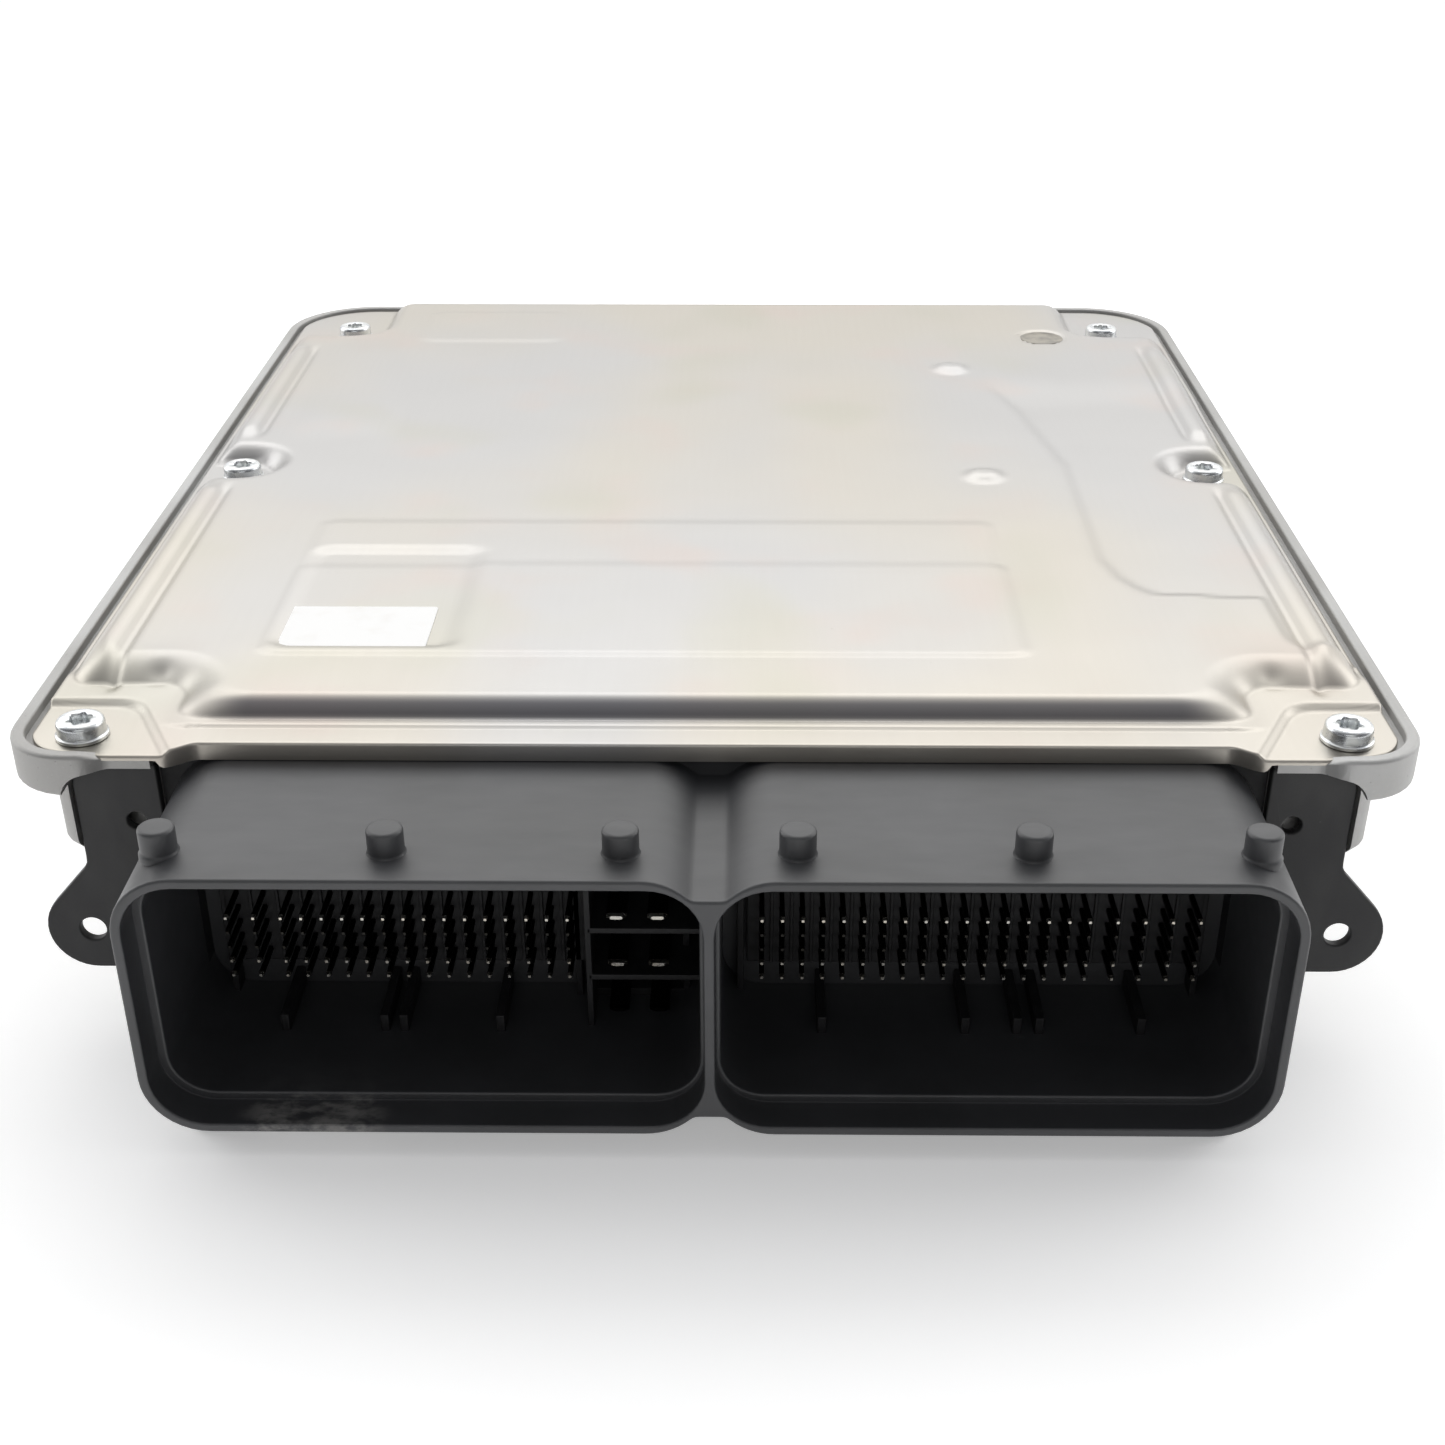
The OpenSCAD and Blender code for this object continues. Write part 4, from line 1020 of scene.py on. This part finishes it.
def contact_tree():
    """Places one contact on every column of a row."""
    tree = bpy.data.node_groups.new("contact_row", "GeometryNodeTree")
    kinds = (("Contact", "NodeSocketObject"), ("Columns", "NodeSocketInt"), ("Edge", "NodeSocketFloat"),
             ("Pitch", "NodeSocketFloat"), ("Wide gaps", "NodeSocketInt"), ("Side", "NodeSocketFloat"),
             ("Finish", "NodeSocketMaterial"))
    keys = {n: tree.interface.new_socket(n, in_out="INPUT", socket_type=k).identifier for n, k in kinds}
    tree.interface.new_socket("Geometry", in_out="OUTPUT", socket_type="NodeSocketGeometry")
    g = Graph(tree)
    given = g.add("NodeGroupInput")
    took = {n: Wire(g, given.outputs[n]) for n, _ in kinds}
    line = g.add("GeometryNodeMeshLine", None, {"Count": took["Columns"], "Offset": (0, 0, 0)})
    column = g.wire("GeometryNodeInputIndex")
    plain = took["Columns"] - 1 - took["Wide gaps"]
    narrow = column.least(plain)
    wide = (column - plain).most(0) * 1.345
    across = took["Side"] * (took["Edge"] + took["Pitch"] * (narrow + wide))
    spot = g.add("ShaderNodeCombineXYZ", None, {"X": across})
    placed = g.add("GeometryNodeSetPosition", None, {
        "Geometry": line.outputs[0], "Position": spot.outputs[0]})
    contact = g.add("GeometryNodeObjectInfo", None, {"Object": took["Contact"]})
    copies = g.add("GeometryNodeInstanceOnPoints", None, {
        "Points": placed.outputs[0], "Instance": contact.outputs["Geometry"]})
    real = g.add("GeometryNodeRealizeInstances", None, {"Geometry": copies.outputs[0]})
    painted = g.add("GeometryNodeSetMaterial", None, {
        "Geometry": real.outputs[0], "Material": took["Finish"]})
    g.add("NodeGroupOutput", None, {"Geometry": painted.outputs[0]})
    return tree, keys


def grown(name, tree, keys, base=None, **values):
    """An object whose mesh a node tree has made, as plain mesh."""
    mesh = base or bpy.data.meshes.new(name)
    piece = bpy.data.objects.new(name, mesh)
    bpy.context.scene.collection.objects.link(piece)
    change = piece.modifiers.new("Nodes", "NODES")
    change.node_group = tree
    for label, value in values.items():
        change[keys[label.replace("_", " ")]] = value
    return frozen(piece)


class UNIT_OT_contacts(bpy.types.Operator):
    """Makes the bent signal pins on both sides and the power blades"""

    bl_idname = "unit.contacts"
    bl_label = "Contacts"

    def execute(self, context):
        finish = tinned_contact_finish(looks())
        tree, keys = contact_tree()
        for side, field in FIELDS.items():
            word = "left" if side < 0 else "right"
            rows = []
            for row in range(ROWS):
                shell = Shell()
                height = FIRST_ROW + ROW_PITCH * row
                swept(shell, bent_path(PIN_TIP, -72.1 + 2.6 * row, height, 8.2), PIN_HALF, PIN_HALF, 0.55)
                pin = shell.made("pin", finish, 30)
                rows.append(grown("row", tree, keys, None, Contact=pin, Columns=field["columns"],
                    Edge=field["edge"] * MM, Pitch=field["pitch"] * MM, Wide_gaps=field["wide"],
                    Side=float(side), Finish=finish))
                bpy.data.objects.remove(pin)
            pins = joined("signal_contacts_" + word, rows)
            shown(pins, "tinned_contact", "signal_pins_" + word)
        shell = Shell()
        for column in (0, 1):
            for row in (0, 1, 2):
                height = HEADER_BASE + 4.7 + 7.2 * row
                blade = Shell()
                swept(blade, bent_path(PIN_TIP, -72.1 + 5.2 * row, height, 8.2), 1.3, 0.4, 0.6)
                shift = -7 - 5.3 * column
                start = shell.ring([(x + shift, y, z) for x, y, z in blade.points])[0]
                shell.faces += [tuple(start + i for i in face) for face in blade.faces]
        blades = shell.made("power_contacts", finish, 30)
        shown(blades, "tinned_contact", "power_blades")
        return {"FINISHED"}


# ---------------------------------------------------------------- eared plate, screws, label and vent


def plate_outline():
    """The plate's edge in X and Z: a U round the header with an ear on each side."""
    half, top, riser_painted_shade, ear_r, corner_r = 82.4, PLATE_HIGH[2], 0.4, 6.1, 3.5
    turn = math.radians(42)
    shoulder = EAR_Z + ear_r * math.sin(turn) + (EAR_X + ear_r * math.cos(turn) - half) / math.tan(turn)
    right = [(76.1, riser_painted_shade), (76.1, EAR_Z - ear_r - 1.2), (77.3, EAR_Z - ear_r), (80, EAR_Z - ear_r)]
    right += arc((EAR_X, EAR_Z), ear_r, -90, 42, 14)
    right += [(half + 0.5, shoulder - 0.55), (half + 0.06, shoulder + 0.35), (half, shoulder + 1.4)]
    right += arc((half - corner_r, top - corner_r), corner_r, 0, 90, 7)
    right += [(71.9, top), (71.3, top - 0.4), (71.2, top - 1.0)]
    right += list(reversed(arc((62.1, 11.5), 9.1, -90, 0, 9)))
    left = [(-x, z) for x, z in reversed(right)]
    return right + left


class UNIT_OT_plate(bpy.types.Operator):
    """Makes the steel plate with its two ears, round the root of the header"""

    bl_idname = "unit.plate"
    bl_label = "Eared plate"

    def execute(self, context):
        shell = Shell()
        holes = []
        for side in (-1, 1):
            holes += [circle(side * EAR_X, EAR_Z, 1.75), circle(side * 74.8, 31.5, 1.25, 24),
                      circle(side * 74.3, 12.6, 1.4, 24)]
        shell.slab(plate_outline(), holes, PLATE_FRONT, BODY_FRONT, 0.28, upright)
        plate = weighted(shell.made("eared_plate_steel", black_steel_finish(looks()), 38))
        shown(plate, "black_steel", "eared_plate")
        return {"FINISHED"}


def screw_tree():
    """Places one screw on every point, turned by chance about its own axis."""
    tree = bpy.data.node_groups.new("screws_on_points", "GeometryNodeTree")
    face = tree.interface
    keys = {}
    for name, kind in (("Points", "NodeSocketGeometry"), ("Screw", "NodeSocketObject"),
                       ("Axis", "NodeSocketVector"), ("Seed", "NodeSocketInt"),
                       ("Finish", "NodeSocketMaterial")):
        keys[name] = face.new_socket(name, in_out="INPUT", socket_type=kind).identifier
    face.new_socket("Geometry", in_out="OUTPUT", socket_type="NodeSocketGeometry")
    g = Graph(tree)
    given = g.add("NodeGroupInput")
    turn = g.add("FunctionNodeRandomValue", {"data_type": "FLOAT"}, {
        2: 0.0, 3: 2 * math.pi, "Seed": given.outputs["Seed"]})
    spin = g.add("ShaderNodeVectorMath", {"operation": "SCALE"}, {
        0: given.outputs["Axis"], "Scale": turn.outputs[1]})
    screw = g.add("GeometryNodeObjectInfo", None, {"Object": given.outputs["Screw"]})
    copies = g.add("GeometryNodeInstanceOnPoints", None, {
        "Points": given.outputs["Points"], "Instance": screw.outputs["Geometry"],
        "Rotation": spin.outputs[0]})
    real = g.add("GeometryNodeRealizeInstances", None, {"Geometry": copies.outputs[0]})
    painted = g.add("GeometryNodeSetMaterial", None, {
        "Geometry": real.outputs[0], "Material": given.outputs["Finish"]})
    g.add("NodeGroupOutput", None, {"Geometry": painted.outputs[0]})
    return tree, keys


def screw_set(name, tree, keys, profile, lobes, axis, places, seed, finish):
    shell = Shell()
    shell.turned(profile, (0, 0, 0), 48, lobes, axis)
    screw = weighted(shell.made("screw", finish, 38))
    base = bpy.data.meshes.new(name)
    base.from_pydata([tuple(v * MM for v in p) for p in places], [], [])
    way = (0.0, 0.0, 1.0) if axis == "Z" else (0.0, 1.0, 0.0)
    made = grown(name, tree, keys, base, Screw=screw, Axis=way, Seed=seed, Finish=finish)
    bpy.data.objects.remove(screw)
    return made


class UNIT_OT_screws(bpy.types.Operator):
    """Makes the six lobed screws of the cover and the two of the eared plate"""

    bl_idname = "unit.screws"
    bl_label = "Screws"

    def execute(self, context):
        finish = zinc_finish(looks())
        tree, keys = screw_tree()
        seat = COVER_TOP - 0.35
        profile = [(0, -9), (1.0, -9), (1.5, -8.4), (1.5, -0.02), (1.52, 0), (3.2, 0), (3.38, 0.1),
                   (3.42, 0.32), (3.38, 0.5), (3.16, 0.62), (3.1, 0.75), (3.1, 1.85), (3.02, 2.2),
                   (2.82, 2.42), (2.55, 2.5), (1.72, 2.5),
                   (1.58, 2.44), (1.5, 2.3), (1.42, 1.1), (1.1, 0.95), (0.5, 0.7), (0, 0.62)]
        places = [(side * x, y, seat) for x, y in SCREW_SPOTS for side in (-1, 1)]
        screws = screw_set("cover_screw_set", tree, keys, profile, 15, "Z", places, 7, finish)
        shown(screws, "zinc_steel", "cover_screws")
        flat = [(0, -4.1), (0.9, -4.1), (1.25, -3.7), (1.25, -0.02), (1.27, 0), (2.0, 0), (2.1, 0.1),
                (2.1, 0.75), (2.02, 1.0), (1.85, 1.15), (1.6, 1.2), (1.05, 1.2), (0.95, 1.15),
                (0.9, 1.05), (0.86, 0.5), (0.6, 0.35), (0, 0.3)]
        places = [(side * 74.3, PLATE_FRONT, 12.6) for side in (-1, 1)]
        screws = screw_set("plate_screw_set", tree, keys, flat, 11, "Y", places, 3, finish)
        shown(screws, "zinc_steel", "plate_screws")
        return {"FINISHED"}


class UNIT_OT_label(bpy.types.Operator):
    """Makes the blank label in its recess and the vent's disc"""

    bl_idname = "unit.label"
    bl_label = "Label and vent"

    def execute(self, context):
        floor = float(cover_height(np.array(-50.0), np.array(-52.0)))
        shell = Shell()
        shell.slab(round_box(-60.4, -39.6, -60.7, -47.5, 0.5, 4), (), floor - 0.02, floor + 0.12, 0.04)
        label = weighted(shell.made("label_film", label_film_finish(looks()), 38))
        shown(label, "label_film", "label")
        base = float(cover_height(np.array(62.6), np.array(83.6)))
        vent = Shell()
        vent.turned([(0, -0.1), (4.15, -0.1), (4.2, 0.02), (4.12, 0.12), (3.9, 0.16), (3.55, 0.14),
                     (3.4, 0.06),
                     (1.6, 0.1), (0, 0.13)], (62.6, 83.6, base), 56)
        vent = vent.made("vent_disc", plain_relief_finish("vent_membrane_finish", tone(178, 172, 160),
            tone(150, 146, 138), 3, 0.02, 0.6), 38)
        shown(vent, "vent_membrane", "vent_membrane")
        return {"FINISHED"}


# ---------------------------------------------------------------- parts inside


def inner_plastic_finish(looks):
    """The header's plastic down in the chambers, duller than outside and painted darker to stand for the
    shade in them.
    """
    f = Finish("inner_plastic_finish")
    cloud = f.noise(5, 3.0, 0.6)
    fine = f.noise(0.3, 2.0, 0.6)
    # Painted shade: the same plastic in two near-black tones, tone(19, 19, 21) and tone(32, 32, 34), darker
    # than the header outside
    f.colour(f.mixed(f.soft(cloud, 0.35, 0.7), tone(19, 19, 21), tone(32, 32, 34)))
    f.rough(0.5 + 0.15 * fine)
    f.bump(fine, 0.006)
    return f.material


class UNIT_OT_inside(bpy.types.Operator):
    """Gives the board, its parts, the seals and the pads their finishes"""

    bl_idname = "unit.inside"
    bl_label = "Parts inside"

    def execute(self, context):
        chip = plain_relief_finish("chip_package_finish", tone(30, 30, 32), tone(44, 44, 46), 2, 0.008, 0.55)
        ceramic = plain_relief_finish(
            "ceramic_finish", tone(176, 156, 122), tone(150, 128, 96), 1.2, 0.005, 0.45)
        rubber = plain_relief_finish("seal_rubber_finish", tone(30, 30, 31), tone(42, 42, 43), 4, 0.02, 0.65)
        ferrite = plain_relief_finish("ferrite_finish", tone(58, 58, 60), tone(78, 77, 76), 1.5, 0.02, 0.6)
        sleeve = plain_relief_finish(
            "capacitor_sleeve_finish", tone(28, 32, 44), tone(40, 44, 58), 6, 0.006, 0.35)
        pad = plain_relief_finish(
            "thermal_pad_finish", tone(150, 160, 168), tone(172, 180, 186), 5, 0.03, 0.75)
        comb = plain_relief_finish("pin_comb_finish", tone(34, 34, 35), tone(52, 52, 54), 3, 0.01, 0.5)
        resistor = plain_relief_finish(
            "chip_resistor_finish", tone(24, 24, 26), tone(60, 60, 62), 0.8, 0.005, 0.4)
        can = plain_relief_finish(
            "crystal_can_finish", tone(196, 196, 192), tone(216, 216, 214), 2, 0.004, 0.25, 1.0)
        steel = plain_relief_finish(
            "board_screw_finish", tone(190, 190, 192), tone(214, 214, 216), 1.5, 0.005, 0.3, 1.0)
        finishes = {
            "cover_seal": rubber, "header_seal": rubber, "circuit_board": board_finish(),
            "board_screws": steel,
            "thermal_pads": pad, "microcontroller": chip, "flash_memory": chip, "power_supply_chip": chip,
            "driver_chips": chip, "power_transistors": chip, "storage_capacitors": sleeve,
            "boost_coil": ferrite,
            "filter_chokes": ferrite, "ceramic_capacitors": ceramic, "chip_resistors": resistor,
            "shunt_resistors": ceramic, "diodes": chip, "quartz_crystal": can, "pressure_sensor": comb,
            "pin_comb_left": comb, "pin_comb_right": comb}
        for node, finish in finishes.items():
            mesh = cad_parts[node].data
            mesh.materials.clear()
            mesh.materials.append(finish)
        return {"FINISHED"}


# ---------------------------------------------------------------- stage


def lamp(name, place, aim, size, power, colour=(1, 1, 1)):
    """A soft square light at a place, turned to a point; places are in millimetres."""
    data = bpy.data.lights.new(name, "AREA")
    data.shape = "RECTANGLE"
    data.size, data.size_y = (v * MM for v in size)
    data.energy = power
    data.color = colour
    light = bpy.data.objects.new(name, data)
    light.location = [v * MM for v in place]
    way = Vector(aim) - Vector(place)
    light.rotation_euler = way.to_track_quat("-Z", "Y").to_euler()
    bpy.context.scene.collection.objects.link(light)
    return light


class UNIT_OT_stage(bpy.types.Operator):
    """Makes the pale floor, the soft lights and the camera"""

    bl_idname = "unit.stage"
    bl_label = "Stage"

    def execute(self, context):
        scene = context.scene
        mesh = bpy.data.meshes.new("floor")
        bm = bmesh.new()
        bmesh.ops.create_grid(bm, x_segments=1, y_segments=1, size=6)
        bm.to_mesh(mesh)
        bm.free()
        floor = bpy.data.objects.new("floor", mesh)
        mesh.transform(Matrix.Translation((0, 0, -0.0003)))
        scene.collection.objects.link(floor)
        f = Finish("floor_finish", emission_strength=0.3)
        grain = f.noise(40, 2.0, 0.5)
        f.colour(f.mixed(grain, tone(253, 253, 253), tone(255, 255, 255)))
        f.rough(0.8 + 0.1 * grain)
        mesh.materials.append(f.material)
        world = bpy.data.worlds.new("studio")
        scene.world = world
        world.use_nodes = True
        w = Graph(world.node_tree)
        world.node_tree.nodes.clear()
        way = w.wire("ShaderNodeTexCoord", "Generated")
        up = w.wire("ShaderNodeSeparateXYZ", "Z", None, {0: way})
        away = w.wire("ShaderNodeSeparateXYZ", "Y", None, {0: way})
        sky = w.add("ShaderNodeValToRGB", {"stops": [(0.0, (0.1, 0.1, 0.1)), (0.4, (0.22, 0.22, 0.23)),
            (0.62, (0.86, 0.86, 0.86)), (1.0, (1.0, 0.995, 0.98))]}, {0: away * 0.45 + up * 0.15 + 0.42})
        back = w.add("ShaderNodeBackground", None, {
            "Color": sky.outputs[0], "Strength": looks().sky_strength})
        w.add("ShaderNodeOutputWorld", None, {"Surface": back.outputs[0]})
        lamp("top_light", (0, 480, 560), (0, 0, 20), (1000, 500), looks().top_power)
        lamp("left_light", (-750, 230, 330), (0, 0, 20), (500, 700), looks().side_power)
        lamp("right_light", (750, 230, 330), (0, 0, 20), (500, 700), looks().side_power)
        lamp("front_light", (0, -900, 500), (0, -60, 10), (700, 350), looks().front_power)
        data = bpy.data.cameras.new("camera")
        data.sensor_width = 36
        data.lens = 49.04
        data.shift_x = -0.0046
        data.shift_y = 0.0779
        data.clip_start = 0.01
        camera = bpy.data.objects.new("camera", data)
        camera.location = (0.0044, -0.3045, 0.1604)
        camera.rotation_euler = (math.radians(90 - 30.72), math.radians(0.05), math.radians(0.57))
        scene.collection.objects.link(camera)
        scene.camera = camera
        scene.view_settings.view_transform = "Standard"
        scene.view_settings.look = "None"
        return {"FINISHED"}


# ---------------------------------------------------------------- add-on


def length(name, description, default):
    return bpy.props.FloatProperty(
        name=name, description=description, default=default * MM, unit="LENGTH", min=0)


def strength(name, description, default):
    return bpy.props.FloatProperty(name=name, description=description, default=default, min=0)


def colour(name, description, default):
    return bpy.props.FloatVectorProperty(name=name, description=description, default=default, subtype="COLOR",
        size=3, min=0, max=1)


class UnitSizes(bpy.types.PropertyGroup):
    cover_rise: length("Cover rise", "Height of the cover's raised middle over its edge", 2.8)
    ridge_rise: length("Ridge rise", "Height of the side ridges over the raised middle", 0.72)
    panel_rise: length("Panel rise", "Height of the wide panel", 0.26)
    label_recess: length("Label recess", "Depth of the recess for the label", 0.5)
    stud_rise: length("Stud rise", "Height of the round studs", 0.8)
    casting_edge: length("Casting edge", "Radius of the tray's outer edges", 0.6)


class UnitLooks(bpy.types.PropertyGroup):
    sheet_colour: colour("Sheet", "Colour of the pressed cover", tone(182, 181, 180))
    sheet_warm_tint: colour("Sheet tint", "Colour of the cover's warm patches", tone(187, 182, 173))
    casting_colour: colour("Casting", "Colour of the cast tray", tone(190, 190, 189))
    plastic_colour: colour("Plastic", "Colour of the header", tone(47, 48, 50))
    plate_colour: colour("Plate", "Colour of the eared plate", tone(48, 48, 49))
    zinc_colour: colour("Zinc", "Colour of the screws", tone(206, 209, 212))
    contact_colour: colour("Contacts", "Colour of the tinned contacts", tone(222, 220, 212))
    label_colour: colour("Label", "Colour of the label", tone(250, 250, 249))
    sky_strength: strength("Sky", "Strength of the surrounding light", 1.1)
    top_power: strength("Top light", "Power of the top light in watts", 1.9)
    side_power: strength("Side lights", "Power of each side light in watts", 1.6)
    front_power: strength("Front light", "Power of the front light in watts", 0.8)


OPERATORS = (UNIT_OT_stage, UNIT_OT_housing, UNIT_OT_cover, UNIT_OT_header, UNIT_OT_contacts, UNIT_OT_plate,
             UNIT_OT_screws, UNIT_OT_label, UNIT_OT_inside)


class UNIT_PT_panel(bpy.types.Panel):
    """Lists the sizes, the colours and the pieces"""

    bl_idname = "UNIT_PT_panel"
    bl_label = "Control unit"
    bl_space_type = "VIEW_3D"
    bl_region_type = "UI"
    bl_category = "Control unit"

    def draw(self, context):
        for group in (context.scene.unit_sizes, context.scene.unit_looks):
            box = self.layout.box()
            for name in group.bl_rna.properties.keys():
                if name not in ("rna_type", "name"):
                    box.prop(group, name)
        for operator in OPERATORS:
            self.layout.operator(operator.bl_idname)


CLASSES = (UnitSizes, UnitLooks, *OPERATORS, UNIT_PT_panel)


def register():
    for item in CLASSES:
        bpy.utils.register_class(item)
    bpy.types.Scene.unit_sizes = bpy.props.PointerProperty(type=UnitSizes)
    bpy.types.Scene.unit_looks = bpy.props.PointerProperty(type=UnitLooks)


def unregister():
    del bpy.types.Scene.unit_looks
    del bpy.types.Scene.unit_sizes
    for item in reversed(CLASSES):
        bpy.utils.unregister_class(item)


def main():
    register()
    for operator in OPERATORS:
        group, name = operator.bl_idname.split(".")
        if getattr(getattr(bpy.ops, group), name)() != {"FINISHED"}:
            raise RuntimeError(operator.bl_label + " did not finish")


if __name__ == "__main__":
    main()
